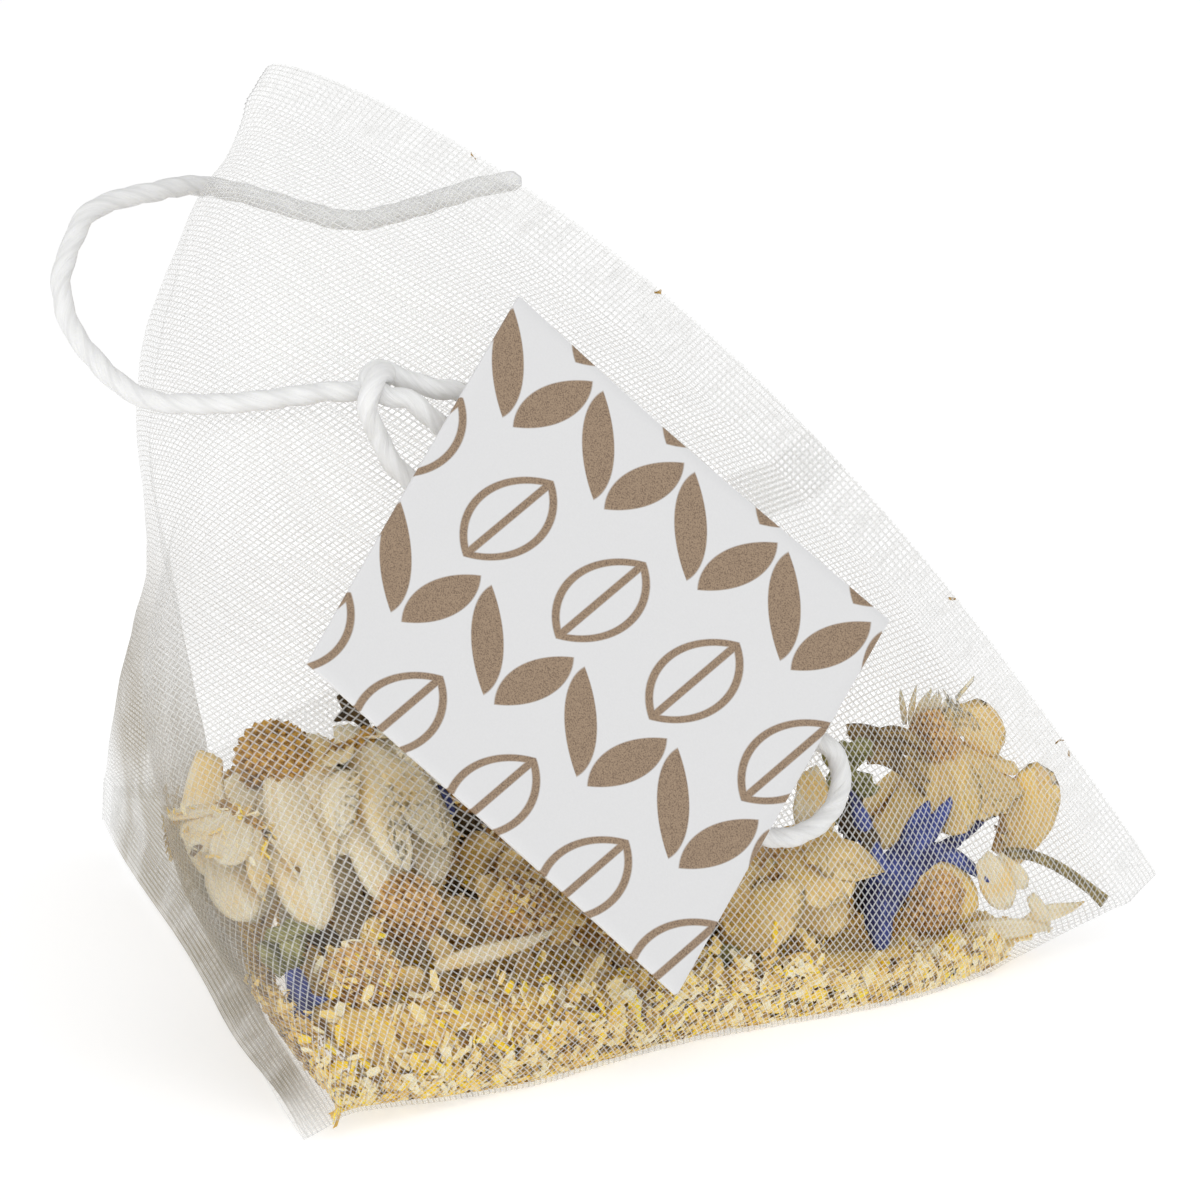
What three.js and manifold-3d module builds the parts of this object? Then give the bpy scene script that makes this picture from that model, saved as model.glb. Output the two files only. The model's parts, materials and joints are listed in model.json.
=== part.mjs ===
// A pyramid tea bag: a tube of woven mesh, sealed across one end along AB and across the
// other end along CD, at right angles to each other, so that it stands up as a tetrahedron.
// It holds dried flowers. A cotton string is caught in the upper seal and ends in a loop
// under a square paper tag.
// Millimetres, +Z up, the table at z = 0. The lower seal CD runs along Y, the bag leans over
// it, and the upper seal AB falls from the top corner A down to the far corner B, along +X.

import * as THREE from 'three';
import { mergeVertices } from 'three/addons/utils/BufferGeometryUtils.js';
import Module from 'manifold-3d';

const wasm = await Module();
wasm.setup();

// ---------------------------------------------------------------- driving dimensions

const CORNER_A = new THREE.Vector3(2.9, -0.1, 45.5); // top corner
const CORNER_B = new THREE.Vector3(46.9, -0.3, 3.2); // far corner, held a little off the table
const CORNER_C = new THREE.Vector3(0, -28.9, 0.3); // near corner
const CORNER_D = new THREE.Vector3(-0.3, 31.7, 0.3); // back corner

const MESH_WALL = 0.3; // the woven mesh, as a solid sheet
const SEAL_SHARE = 0.05; // each seal's share of the length of the tube
const ROUNDING = 0.07; // how far a soft fold is rounded, as a share of the girth
const SEAL_BOW = 15.8; // how far the upper seal bows outwards
const SEAL_BOW_REACH = 0.45; // how far down the tube that bow is felt

const STRING_DIAMETER = 1.0;
const CLEARANCE = 0.3; // between neighbouring pieces
const MERGE_DISTANCE = 1e-5; // vertices nearer than this are one
const KNOT_RADIUS = 1.1;
const TAG_SIDE = 24.5;
const TAG_THICKNESS = 0.3;

// The bag's own box has its lower centre here, which becomes the origin.
const STANDING_CENTRE = new THREE.Vector3(20.7, 1.3, 0);

// ---------------------------------------------------------------- the surface of the mesh

const midAB = CORNER_A.clone().add(CORNER_B).multiplyScalar(0.5);
const midCD = CORNER_C.clone().add(CORNER_D).multiplyScalar(0.5);
const alongAB = CORNER_B.clone().sub(CORNER_A).normalize();
const alongCD = CORNER_D.clone().sub(CORNER_C).normalize();
const tubeAxis = midCD.clone().sub(midAB).normalize();
const halfAB = CORNER_A.distanceTo(CORNER_B) / 2;
const halfCD = CORNER_C.distanceTo(CORNER_D) / 2;
const bagCentre = midAB.clone().add(midCD).multiplyScalar(0.5);

function outwardNormal(p, q, r) {
  const normal = q.clone().sub(p).cross(r.clone().sub(p)).normalize();
  return normal.dot(p.clone().sub(bagCentre)) < 0 ? normal.negate() : normal;
}

const frontNormal = outwardNormal(CORNER_A, CORNER_B, CORNER_C);

// Each flat side of the bag swells or sinks: the middle of the side as a share of the girth,
// whether it is widest at the upper seal, and how far its middle stands out.
const SIDES = [
  { middle: 0.25, widestAtTop: true, swell: 1.6, normal: frontNormal },
  { middle: 0.75, widestAtTop: true, swell: 1.5, normal: outwardNormal(CORNER_A, CORNER_B, CORNER_D) },
  { middle: 0, widestAtTop: false, swell: -0.5, normal: outwardNormal(CORNER_A, CORNER_C, CORNER_D) },
  { middle: 0.5, widestAtTop: false, swell: 3, normal: outwardNormal(CORNER_B, CORNER_C, CORNER_D) },
];

// Places where the contents or the handling have pushed the mesh: a place on the bag
// (share of the girth, share of the length), how far it spreads, and the push itself.
const PUSHES = [
  { girth: 0.93, length: 0.38, spread: [0.15, 0.27], by: [-4.2, 0, 0] }, // back left fold
  { girth: 0.82, length: 0.82, spread: [0.12, 0.18], by: [-1.3, 0, 0] }, // above corner D
  { girth: 0.16, length: 0.58, spread: [0.12, 0.27], by: [-7.8, 0, 0] }, // flowers, front left
  { girth: 0.43, length: 0.33, spread: [0.12, 0.24], by: [0.6, -1.6, -2.4] }, // lower front fold
  { girth: 0.32, length: 0.72, spread: [0.1, 0.2], by: [0, -1.6, -1] }, // near corner C
  { girth: 0, length: 0.09, spread: [0.1, 0.06], by: [1, 0, -0.3] }, // tuck under corner A
  { girth: 0.19, length: 1, spread: [0.07, 0.08], by: [0.9, 0, 0] }, // wave in the lower seal
];

// The lower seal is turned down to the table: at C it lies out flat, at D it stands up.
const WELD_RISE_AT_C = new THREE.Vector3(2.2, 0, 0.9);
const WELD_RISE_AT_D = new THREE.Vector3(0.2, -0.6, 2.3);
const UPPER_WELD_DEPTH = 2.3;

// One slice of the tube is a rectangle that is all width at AB and all depth at CD. This
// walks round it at an even pace from the middle of its left side: returns its two offsets.
function rectanglePoint(girth, fall, halfWidth, halfDepth) {
  const turn = girth - Math.floor(girth);
  const quarter = Math.min(3, Math.floor(turn * 4));
  const part = turn * 4 - quarter;
  const step = quarter % 2 === 0 ? part : 1 - part;
  const width = step < fall ? halfWidth : (halfWidth * (1 - step)) / Math.max(1 - fall, 1e-6);
  const depth = step < fall ? (halfDepth * step) / Math.max(fall, 1e-6) : halfDepth;
  return [quarter === 0 || quarter === 3 ? -width : width, quarter < 2 ? -depth : depth];
}

function sideShare(side, girth, fall) {
  const spread = (side.widestAtTop ? 1 - fall : fall) / 4 + 1e-4;
  const away = Math.abs(girth - side.middle - Math.round(girth - side.middle)) / spread;
  const taper = side.widestAtTop ? 1 - fall : fall;
  return away < 1 ? (1 - away * away) * Math.sin(Math.PI * fall) * taper * 2 : 0;
}

// A point of the bag: girth runs once round the tube, length from the cut edge at AB to the
// cut edge at CD. Inset is how far inside the middle of the cloth the point lies.
function meshPoint(girth, length, inset) {
  const fall = Math.min(1, Math.max(0, (length - SEAL_SHARE) / (1 - 2 * SEAL_SHARE)));
  const window = ROUNDING * Math.pow(Math.sin(Math.PI * fall), 0.7) + 0.012;
  const samples = 11;
  let across = 0;
  let deep = 0;
  for (let i = 0; i < samples; i++) {
    const shifted = girth + ((i + 0.5) / samples - 0.5) * window;
    const corner = rectanglePoint(shifted, fall, halfAB * (1 - fall) - inset, halfCD * fall - inset);
    across += corner[0] / samples;
    deep += corner[1] / samples;
  }
  const upperWeld = midAB.clone().addScaledVector(tubeAxis, UPPER_WELD_DEPTH);
  const towardsD = Math.min(1, Math.max(0, (deep / halfCD + 1) / 2));
  const lowerWeld = WELD_RISE_AT_C.clone().lerp(WELD_RISE_AT_D, towardsD).add(midCD);
  const point = upperWeld.clone().lerp(lowerWeld, fall);
  if (length < SEAL_SHARE) point.copy(midAB).lerp(upperWeld, length / SEAL_SHARE);
  if (length > 1 - SEAL_SHARE) point.copy(midCD).lerp(lowerWeld, (1 - length) / SEAL_SHARE);
  point.addScaledVector(alongAB, across).addScaledVector(alongCD, deep);

  const turn = girth - Math.floor(girth);
  const share = turn < 0.5 ? 2 * turn : 2 - 2 * turn;
  const bow = SEAL_BOW * Math.pow(share, 0.7) * (1 - share) * Math.exp(-((length / SEAL_BOW_REACH) ** 2));
  point.addScaledVector(tubeAxis, -bow);
  for (const side of SIDES) {
    point.addScaledVector(side.normal, side.swell * sideShare(side, girth, fall));
  }
  for (const push of PUSHES) {
    const away = girth - push.girth - Math.round(girth - push.girth);
    const distance = (away / push.spread[0]) ** 2 + ((length - push.length) / push.spread[1]) ** 2;
    point.addScaledVector(new THREE.Vector3(...push.by), Math.exp(-distance));
  }

  // The weight of the contents lays the underside flat on the table.
  const table = inset > 0 ? inset + MESH_WALL / 2 : 0;
  const height = point.z - table;
  const softness = 0.6;
  const eased = Math.sqrt(height * height + softness * softness) - softness * Math.exp(-height / softness);
  point.z = table + (height > 0 ? Math.max(0, eased) : 0);
  return point;
}

// ---------------------------------------------------------------- from points to solids

function geometryFrom(positions, indices) {
  const geometry = new THREE.BufferGeometry();
  geometry.setAttribute('position', new THREE.Float32BufferAttribute(positions, 3));
  geometry.setIndex(indices);
  geometry.computeVertexNormals();
  return geometry;
}

// A closed tube of mesh points in rings at the given lengths, its two ends zipped shut flat.
function sealedTube(inset, ringLengths, around) {
  const along = ringLengths.length - 1;
  const positions = [];
  for (const length of ringLengths) {
    for (let i = 0; i < around; i++) positions.push(...meshPoint(i / around, length, inset).toArray());
  }
  const indices = [];
  const at = (i, j) => j * around + (((i % around) + around) % around);
  const triangle = (a, b, c) => {
    if (a !== b && b !== c && a !== c) indices.push(a, b, c);
  };
  const quad = (a, b, c, d) => {
    triangle(a, b, c);
    triangle(a, c, d);
  };
  for (let j = 0; j < along; j++) {
    for (let i = 0; i < around; i++) quad(at(i, j), at(i, j + 1), at(i + 1, j + 1), at(i + 1, j));
  }
  for (let i = 0; i < around / 2; i++) {
    const fold = around / 4;
    quad(at(i, 0), at(i + 1, 0), at(-i - 1, 0), at(-i, 0));
    quad(at(fold + i, along), at(fold - i, along), at(fold - i - 1, along), at(fold + i + 1, along));
  }
  return geometryFrom(positions, indices);
}

function solidFrom(geometry) {
  const bare = geometry.clone();
  bare.deleteAttribute('normal');
  if (bare.hasAttribute('uv')) bare.deleteAttribute('uv');
  const merged = mergeVertices(bare, MERGE_DISTANCE);
  const vertProperties = new Float32Array(merged.attributes.position.array);
  const triVerts = new Uint32Array(merged.index.array);
  return new wasm.Manifold(new wasm.Mesh({ numProp: 3, vertProperties, triVerts }));
}

function geometryOf(solid) {
  const mesh = solid.getMesh();
  return geometryFrom(Array.from(mesh.vertProperties), Array.from(mesh.triVerts));
}

// ---------------------------------------------------------------- pieces

const part = new THREE.Group();
const contents = new THREE.Group();
part.add(contents);

function addPiece(group, name, geometry, color, roughness) {
  const material = new THREE.MeshStandardMaterial({ color, roughness, metalness: 0 });
  const piece = new THREE.Mesh(geometry, material);
  piece.name = name;
  group.add(piece);
  return piece;
}

// The mesh bag: one sheet of woven mesh, hollow, both ends sealed. Its upper seal is left
// open for the width of the string that it grips.
const GIRTH_STEPS = 56;
const RINGS = 18; // between the two ends of the cavity
const ringGap = (1 - 2 * SEAL_SHARE) / RINGS;
const cavityRings = [SEAL_SHARE + ringGap / 2];
for (let ring = 1; ring < RINGS; ring++) cavityRings.push(SEAL_SHARE + ring * ringGap);
cavityRings.push(1 - cavityRings[0]);
const skinRings = [0, SEAL_SHARE, ...cavityRings, 1 - SEAL_SHARE, 1];
const outerSkin = solidFrom(sealedTube(-MESH_WALL / 2, skinRings, GIRTH_STEPS));
const cavity = solidFrom(sealedTube(MESH_WALL / 2, cavityRings, GIRTH_STEPS));

const SEAT = { share: 0.23, through: 0.8, wide: 1.9, deep: 7, raised: 2.5 }; // share of AB from A
const seat = new THREE.BoxGeometry(SEAT.through, SEAT.wide, SEAT.deep);
const seatTurn = new THREE.Matrix4().makeBasis(alongCD, alongAB, tubeAxis);
const seatPlace = CORNER_A.clone().lerp(CORNER_B, SEAT.share).addScaledVector(tubeAxis, -SEAT.raised);
seat.applyMatrix4(seatTurn.setPosition(seatPlace));

const meshBag = outerSkin.subtract(cavity).subtract(solidFrom(seat));
addPiece(part, 'mesh_bag', geometryOf(meshBag), 0xf4f3ee, 0.6);

// The fine crumb: petals and pollen that have sifted down to lie on the underside. It fills
// the bottom of the bag up to a slope that is highest at the front.
const CRUMB_HEIGHT = 3.3; // under the origin, from the table
const CRUMB_SLOPE = new THREE.Euler(-0.07, 0.05, 0);
const BELOW = { wide: 90, deep: 20 }; // a block larger than the bag, for all that is under the slope
const crumbRoom = MESH_WALL / 2 + 2 * CLEARANCE;
const crumbSpace = solidFrom(sealedTube(crumbRoom, cavityRings.slice(2, -2), GIRTH_STEPS));
const crumbTop = new THREE.BoxGeometry(BELOW.wide, BELOW.wide, BELOW.deep);
crumbTop.translate(0, 0, -BELOW.deep / 2);
crumbTop.applyMatrix4(new THREE.Matrix4().makeRotationFromEuler(CRUMB_SLOPE));
crumbTop.translate(0, 0, CRUMB_HEIGHT);
const crumbBed = crumbSpace.intersect(solidFrom(crumbTop));
addPiece(contents, 'crumb_bed', geometryOf(crumbBed), 0xc9a24a, 0.9);

// Dried flower heads: a domed button with its petals folded back, as one lump each.
const FLOWER_HEADS = [
  { at: [0.6, -15.6, 13.6], radii: [2.2, 2.3, 2.4] },
  { at: [5.4, -14.2, 12.4], radii: [2.2, 2.2, 2.6] },
  { at: [-0.1, -17.5, 9.4], radii: [1.5, 1.6, 1.6] },
  { at: [6.6, -17.9, 7.9], radii: [2.2, 2.1, 1.8] },
  { at: [3.4, -21.6, 6.5], radii: [1.2, 1.1, 1.0] },
  { at: [11.6, -14.4, 7.8], radii: [2.3, 2.3, 2.3] },
  { at: [17.2, -11.6, 7.6], radii: [2.6, 2.5, 2.6] },
  { at: [26.6, -7.3, 5.4], radii: [2.8, 2.5, 2.6] },
  { at: [35.4, -0.9, 10.2], radii: [1.9, 1.3, 1.9] },
  { at: [38.9, -0.6, 7.3], radii: [0.9, 0.25, 0.9] },
  { at: [34.6, -3.6, 3.9], radii: [1.8, 1.6, 1.4] },
  { at: [5.6, -7.6, 8.8], radii: [2.6, 2.6, 2.8] },
  { at: [4.4, 0.6, 8.0], radii: [2.8, 2.8, 2.8] },
  { at: [12.4, -2.4, 6.4], radii: [2.8, 2.8, 2.6] },
  { at: [3.8, 9.6, 6.2], radii: [2.6, 2.6, 2.4] },
  { at: [19.6, -3.6, 5.4], radii: [2.4, 2.4, 2.2] },
  { at: [12.2, 6.4, 5.2], radii: [2.4, 2.4, 2.2] },
];
FLOWER_HEADS.forEach((head, index) => {
  const geometry = new THREE.IcosahedronGeometry(1, 2);
  geometry.scale(...head.radii);
  addPiece(contents, `flower_head_${index + 1}`, geometry, 0xd9c28c, 0.85).position.set(...head.at);
});

// Blue cornflower florets: a flat star of petals on the right, a scrap of one by corner C.
const CORNFLOWERS = [
  { at: [31.4, -3.9, 6.6], radii: [1.4, 0.6, 1.7] },
  { at: [0.7, -22.4, 6.2], radii: [0.6, 0.5, 0.6] },
];
CORNFLOWERS.forEach((floret, index) => {
  const geometry = new THREE.IcosahedronGeometry(1, 1);
  geometry.scale(...floret.radii);
  addPiece(contents, `cornflower_${index + 1}`, geometry, 0x3a4a9a, 0.8).position.set(...floret.at);
});

// A dry flower stalk that lies down towards corner B.
const STALK_RADIUS = 0.3;
const stalkStart = new THREE.Vector3(38.4, -2.4, 5.3);
const stalkEnd = new THREE.Vector3(41.8, -1.2, 3.9);
const stalkLength = stalkStart.distanceTo(stalkEnd);
const stalk = new THREE.CylinderGeometry(STALK_RADIUS, STALK_RADIUS, stalkLength, 10);
const stalkPiece = addPiece(contents, 'flower_stalk', stalk, 0x7d7440, 0.85);
stalkPiece.position.copy(stalkStart).lerp(stalkEnd, 0.5);
const stalkDirection = stalkEnd.clone().sub(stalkStart).normalize();
stalkPiece.quaternion.setFromUnitVectors(new THREE.Vector3(0, 1, 0), stalkDirection);

// Two scraps of green leaf between the flowers.
const LEAVES = [
  { at: [22.6, -9.2, 4.6], radii: [1.1, 0.4, 0.7] },
  { at: [30.2, -4.4, 10.2], radii: [0.9, 0.4, 1.1] },
];
LEAVES.forEach((leaf, index) => {
  const geometry = new THREE.IcosahedronGeometry(1, 1);
  geometry.scale(...leaf.radii);
  addPiece(contents, `leaf_${index + 1}`, geometry, 0x8a8a3c, 0.85).position.set(...leaf.at);
});

// ---------------------------------------------------------------- string, knot and loop

// An extruded tube of eight sides along a smooth curve through the route's points.
function cordTube(route, steps) {
  const points = route.map((place) => new THREE.Vector3(...place));
  const curve = new THREE.CatmullRomCurve3(points, false, 'centripetal');
  const section = new THREE.Shape();
  const sides = 8;
  for (let i = 0; i < sides; i++) {
    const angle = (i * 2 * Math.PI) / sides;
    const x = (STRING_DIAMETER / 2) * Math.cos(angle);
    const y = (STRING_DIAMETER / 2) * Math.sin(angle);
    if (i === 0) section.moveTo(x, y);
    else section.lineTo(x, y);
  }
  return new THREE.ExtrudeGeometry(section, { steps, bevelEnabled: false, extrudePath: curve });
}

// From the upper seal, down the back of the bag, round in a free loop on the left, and
// across the front to the knot.
const STRING_ROUTE = [
  [16.1, 0.9, 38.9],
  [14.9, 0.95, 39.1],
  [13.1, 1.15, 38.7],
  [11.7, 1.7, 38.15],
  [10.0, 3.2, 37.3],
  [7.9, 4.8, 36.6],
  [5.4, 5.6, 37.1],
  [3.1, 6.0, 37.8],
  [1.1, 5.4, 38.4],
  [-0.5, 3.9, 38.8],
  [-2.1, 2.4, 38.9],
  [-4.2, 1.2, 38.8],
  [-5.7, 0, 38.4],
  [-6.6, -1.2, 37.3],
  [-7.3, -2.4, 35.8],
  [-7.1, -3.7, 34.0],
  [-6.2, -5.0, 32.6],
  [-4.9, -6.4, 31.4],
  [-3.6, -7.5, 30.9],
  [-1.7, -8.9, 31.0],
  [0.3, -10.2, 31.3],
  [2.5, -10.3, 31.5],
  [4.4, -10.0, 31.6],
  [5.2, -9.9, 31.6],
];
addPiece(part, 'string', cordTube(STRING_ROUTE, 40), 0xf5f4f0, 0.8);

const knotCentre = [6.8, -9.7, 31.6];
const knot = new THREE.IcosahedronGeometry(KNOT_RADIUS, 2);
addPiece(part, 'string_knot', knot, 0xf5f4f0, 0.8).position.set(...knotCentre);

// The loop runs from the knot under the tag, turns in a round eye beyond its edge, and comes
// back beside itself.
const LOOP_ROUTE = [
  [6.6, -10.8, 29.6],
  [7.0, -11.0, 28.6],
  [8.2, -11.1, 27.2],
  [9.9, -11.5, 25.4],
  [12.7, -12.2, 22.3],
  [16.0, -12.8, 18.9],
  [19.3, -13.3, 15.4],
  [22.3, -13.7, 12.0],
  [25.1, -13.4, 9.7],
  [27.6, -12.0, 9.8],
  [29.0, -10.5, 11.0],
  [29.0, -9.7, 12.6],
  [27.5, -10.0, 13.8],
  [25.4, -10.6, 15.0],
  [22.9, -10.5, 17.5],
  [19.8, -10.4, 20.8],
  [16.5, -9.8, 24.2],
  [13.2, -9.5, 27.2],
  [10.8, -9.5, 28.8],
  [9.2, -9.9, 29.8],
];
addPiece(part, 'string_loop', cordTube(LOOP_ROUTE, 44), 0xf5f4f0, 0.8);

// The cut end of the string, left over at the knot, also lies under the tag.
const TAIL_ROUTE = [
  [8.5, -9.2, 31.5],
  [9.6, -8.9, 31.3],
  [10.8, -8.5, 31.0],
  [12.2, -8.2, 30.2],
];
addPiece(part, 'string_tail', cordTube(TAIL_ROUTE, 4), 0xf5f4f0, 0.8);

// ---------------------------------------------------------------- tag

// A square of paper lies over the loop, parallel to the front of the bag.
const tagCentre = [16.6, -14.2, 19.8];
const tagUp = new THREE.Vector3(0.529, 0.639, 0.559).normalize();
const tagAcross = tagUp.clone().cross(frontNormal).normalize();
const tagTurn = new THREE.Matrix4().makeBasis(tagAcross, tagUp, frontNormal);
const tag = new THREE.BoxGeometry(TAG_SIDE, TAG_SIDE, TAG_THICKNESS);
const tagPiece = addPiece(part, 'tag', tag, 0xf1f0ec, 0.75);
tagPiece.position.set(...tagCentre);
tagPiece.quaternion.setFromRotationMatrix(tagTurn);

part.position.copy(STANDING_CENTRE).negate();

export default part;
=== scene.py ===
# A pyramid tea bag: a folded tube of woven mesh with dried chamomile in it, its cotton
# string and its paper tag. The sections follow the making of it. Lengths are in metres,
# and most are written as a number of millimetres times mm.
import json
import math
import random

import bpy
import numpy as np
from mathutils import Matrix, Vector, noise
from mathutils.bvhtree import BVHTree

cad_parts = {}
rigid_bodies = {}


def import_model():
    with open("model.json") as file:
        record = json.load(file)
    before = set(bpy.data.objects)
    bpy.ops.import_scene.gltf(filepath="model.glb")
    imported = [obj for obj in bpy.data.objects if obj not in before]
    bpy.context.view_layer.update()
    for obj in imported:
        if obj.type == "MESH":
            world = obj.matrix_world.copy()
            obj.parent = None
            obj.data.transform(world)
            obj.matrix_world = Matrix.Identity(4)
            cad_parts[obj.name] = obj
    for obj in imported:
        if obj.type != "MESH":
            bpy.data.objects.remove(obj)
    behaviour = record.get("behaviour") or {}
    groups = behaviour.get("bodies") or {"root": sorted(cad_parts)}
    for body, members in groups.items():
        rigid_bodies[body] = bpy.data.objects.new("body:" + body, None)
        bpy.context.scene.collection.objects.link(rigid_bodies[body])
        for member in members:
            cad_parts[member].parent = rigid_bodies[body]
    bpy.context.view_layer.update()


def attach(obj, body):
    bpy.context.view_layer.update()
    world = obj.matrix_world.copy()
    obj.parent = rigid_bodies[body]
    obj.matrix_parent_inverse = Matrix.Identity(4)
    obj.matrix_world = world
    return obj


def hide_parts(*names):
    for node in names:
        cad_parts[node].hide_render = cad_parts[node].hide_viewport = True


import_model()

mm = 0.001

# ---------------------------------------------------------------- camera, floor and light
# The bag stands on a plain white table in a white room. A long lens looks at its front
# from a little above. One large soft lamp is in front and above, and one to the left.

view_azimuth, view_elevation = math.radians(-10.301), math.radians(13.719)
camera_distance = 700 * mm
camera_aim = Vector((-1.462, -1.3, 18.393)) * mm
towards_camera = Vector((
    math.sin(view_azimuth) * math.cos(view_elevation),
    -math.cos(view_azimuth) * math.cos(view_elevation),
    math.sin(view_elevation),
))
camera_data = bpy.data.cameras.new("camera")
camera_data.sensor_width = 36
camera_data.lens = 433.76
camera_data.clip_start, camera_data.clip_end = 0.01, 50
camera = bpy.data.objects.new("camera", camera_data)
bpy.context.collection.objects.link(camera)
camera.location = camera_aim + towards_camera * camera_distance
camera.rotation_mode = "QUATERNION"
camera.rotation_quaternion = (-towards_camera).to_track_quat("-Z", "Y")
bpy.context.scene.camera = camera


def deselect_all():
    for thing in bpy.context.scene.objects:
        thing.select_set(False)


def area_lamp(name, place, aim, size, power):
    deselect_all()
    bpy.ops.object.light_add(type="AREA", location=place)
    lamp = bpy.context.object
    lamp.name = name
    lamp.data.size = size
    lamp.data.energy = power
    lamp.rotation_euler = (Vector(aim) - Vector(place)).to_track_quat("-Z", "Y").to_euler()


area_lamp("key_lamp", (0.05, -0.45, 0.5), (0, 0, 0.015), 0.5, 1.15)
area_lamp("fill_lamp", (-0.5, -0.45, 0.25), (0, 0, 0.015), 0.5, 1.1)

world = bpy.data.worlds.new("room")
bpy.context.scene.world = world
world.use_nodes = True
world.node_tree.nodes["Background"].inputs["Color"].default_value = (1, 1, 1, 1)
world.node_tree.nodes["Background"].inputs["Strength"].default_value = 0.6
bpy.context.scene.view_settings.view_transform = "Standard"


class Value:
    """A value in a material. Sums and products of values add Math nodes beside them."""

    def __init__(self, finish, socket):
        self.finish = finish
        self.socket = socket

    def math(self, operation, *others):
        return self.finish.node("Math", {"operation": operation}, dict(enumerate((self, *others))))

    def __add__(self, other):
        return self.math("ADD", other)

    def __sub__(self, other):
        return self.math("SUBTRACT", other)

    def __mul__(self, other):
        return self.math("MULTIPLY", other)

    def __truediv__(self, other):
        return self.math("DIVIDE", other)

    def __gt__(self, other):
        return self.math("GREATER_THAN", other)

    def __lt__(self, other):
        return self.math("LESS_THAN", other)

    def __rsub__(self, other):
        return self.finish.node("Math", {"operation": "SUBTRACT"}, {0: other, 1: self})

    def __abs__(self):
        return self.math("ABSOLUTE")

    __radd__ = __add__
    __rmul__ = __mul__

    def step(self, low, high):
        """0 below low, 1 above high, and smooth between them."""
        sockets = {"Value": self, "From Min": low, "From Max": high}
        return self.finish.node("MapRange", {"interpolation_type": "SMOOTHSTEP"}, sockets)


class Finish:
    """A material in the making, on one Principled shader."""

    def __init__(self, name):
        self.material = bpy.data.materials.new(name)
        self.material.use_nodes = True
        self.tree = self.material.node_tree
        self.shader = self.tree.nodes["Principled BSDF"]

    def node(self, kind, settings=None, sockets=None, output=0):
        """Adds a node: its settings first, then the values or links of its sockets."""
        made = self.tree.nodes.new("ShaderNode" + kind)
        for name, setting in (settings or {}).items():
            if name != "stops":
                setattr(made, name, setting)
                continue
            ramp = made.color_ramp.elements
            while len(ramp) < len(setting):
                ramp.new(1)
            for stop, (place, colour) in zip(ramp, setting):
                stop.position = place
                stop.color = (*colour, 1)
        for name, value in (sockets or {}).items():
            self.put(made.inputs[name], value)
        return Value(self, made.outputs[output])

    def put(self, socket, value):
        if isinstance(value, Value):
            self.tree.links.new(value.socket, socket)
        else:
            socket.default_value = value

    def mix(self, share, first, second):
        """A colour between two others: the first where share is 0, the second where it is 1."""
        colours = {0: share, 6: first, 7: second}
        return self.node("Mix", {"data_type": "RGBA"}, colours, output=2)

    def uv(self):
        """The piece's own UV map, as its two values."""
        coordinates = self.node("TexCoord", output="UV")
        return [self.node("SeparateXYZ", None, {0: coordinates}, output=axis) for axis in (0, 1)]

    def vector(self, x, y, z=0.0):
        return self.node("CombineXYZ", None, {0: x, 1: y, 2: z})

    def noise(self, vector, scale, detail=2.0, distortion=0.0):
        sockets = {"Vector": vector, "Scale": scale, "Detail": detail, "Distortion": distortion}
        return self.node("TexNoise", None, sockets)

    def place(self):
        return self.node("TexCoord", output="Object")

    def bump(self, height, distance, strength=1.0):
        return self.node("Bump", None, {"Height": height, "Distance": distance, "Strength": strength})

    def surface(self, **sockets):
        """Sets the shader's sockets by name, with _ for a space, and gives the material."""
        for name, value in sockets.items():
            self.put(self.shader.inputs[name.replace("_", " ")], value)
        return self.material


deselect_all()
bpy.ops.mesh.primitive_plane_add(size=12, location=(0, 0, -0.00002))
floor = bpy.context.object
floor.name = "floor"
floor_finish = Finish("floor")
floor.data.materials.append(floor_finish.surface(
    Base_Color=(0.6, 0.6, 0.6, 1), Roughness=0.9, Emission_Color=(1, 1, 1, 1), Emission_Strength=0.57,
))

# ---------------------------------------------------------------- string
# One length of white cotton, twisted from three plies. One end is welded into the upper
# seal. It runs behind the bag, round to a knot on the front, makes the long loop that the
# tag hangs on, and comes back to the knot, where it ends in a cut tail.

string_diameter = 1.0 * mm
ply_twist = 5.2 * mm  # one whole turn of the three plies
standing_centre = Vector((20.7, 1.3, 0)) * mm  # of the bag's own box, in its maker's drawing


def drawn(x, y, z):
    """A place in the maker's drawing, in millimetres, as a place in the frame."""
    return Vector((x, y, z)) * mm - standing_centre


def as_piece(name, mesh):
    """A new piece with this mesh."""
    piece = bpy.data.objects.new(name, mesh)
    bpy.context.collection.objects.link(piece)
    return piece


def into_frame(piece, slot, *nodes):
    """Fixes a piece to the bag and hides the plain solids it takes over. slot is not used."""
    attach(piece, "root")
    if nodes:
        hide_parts(*nodes)


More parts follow.
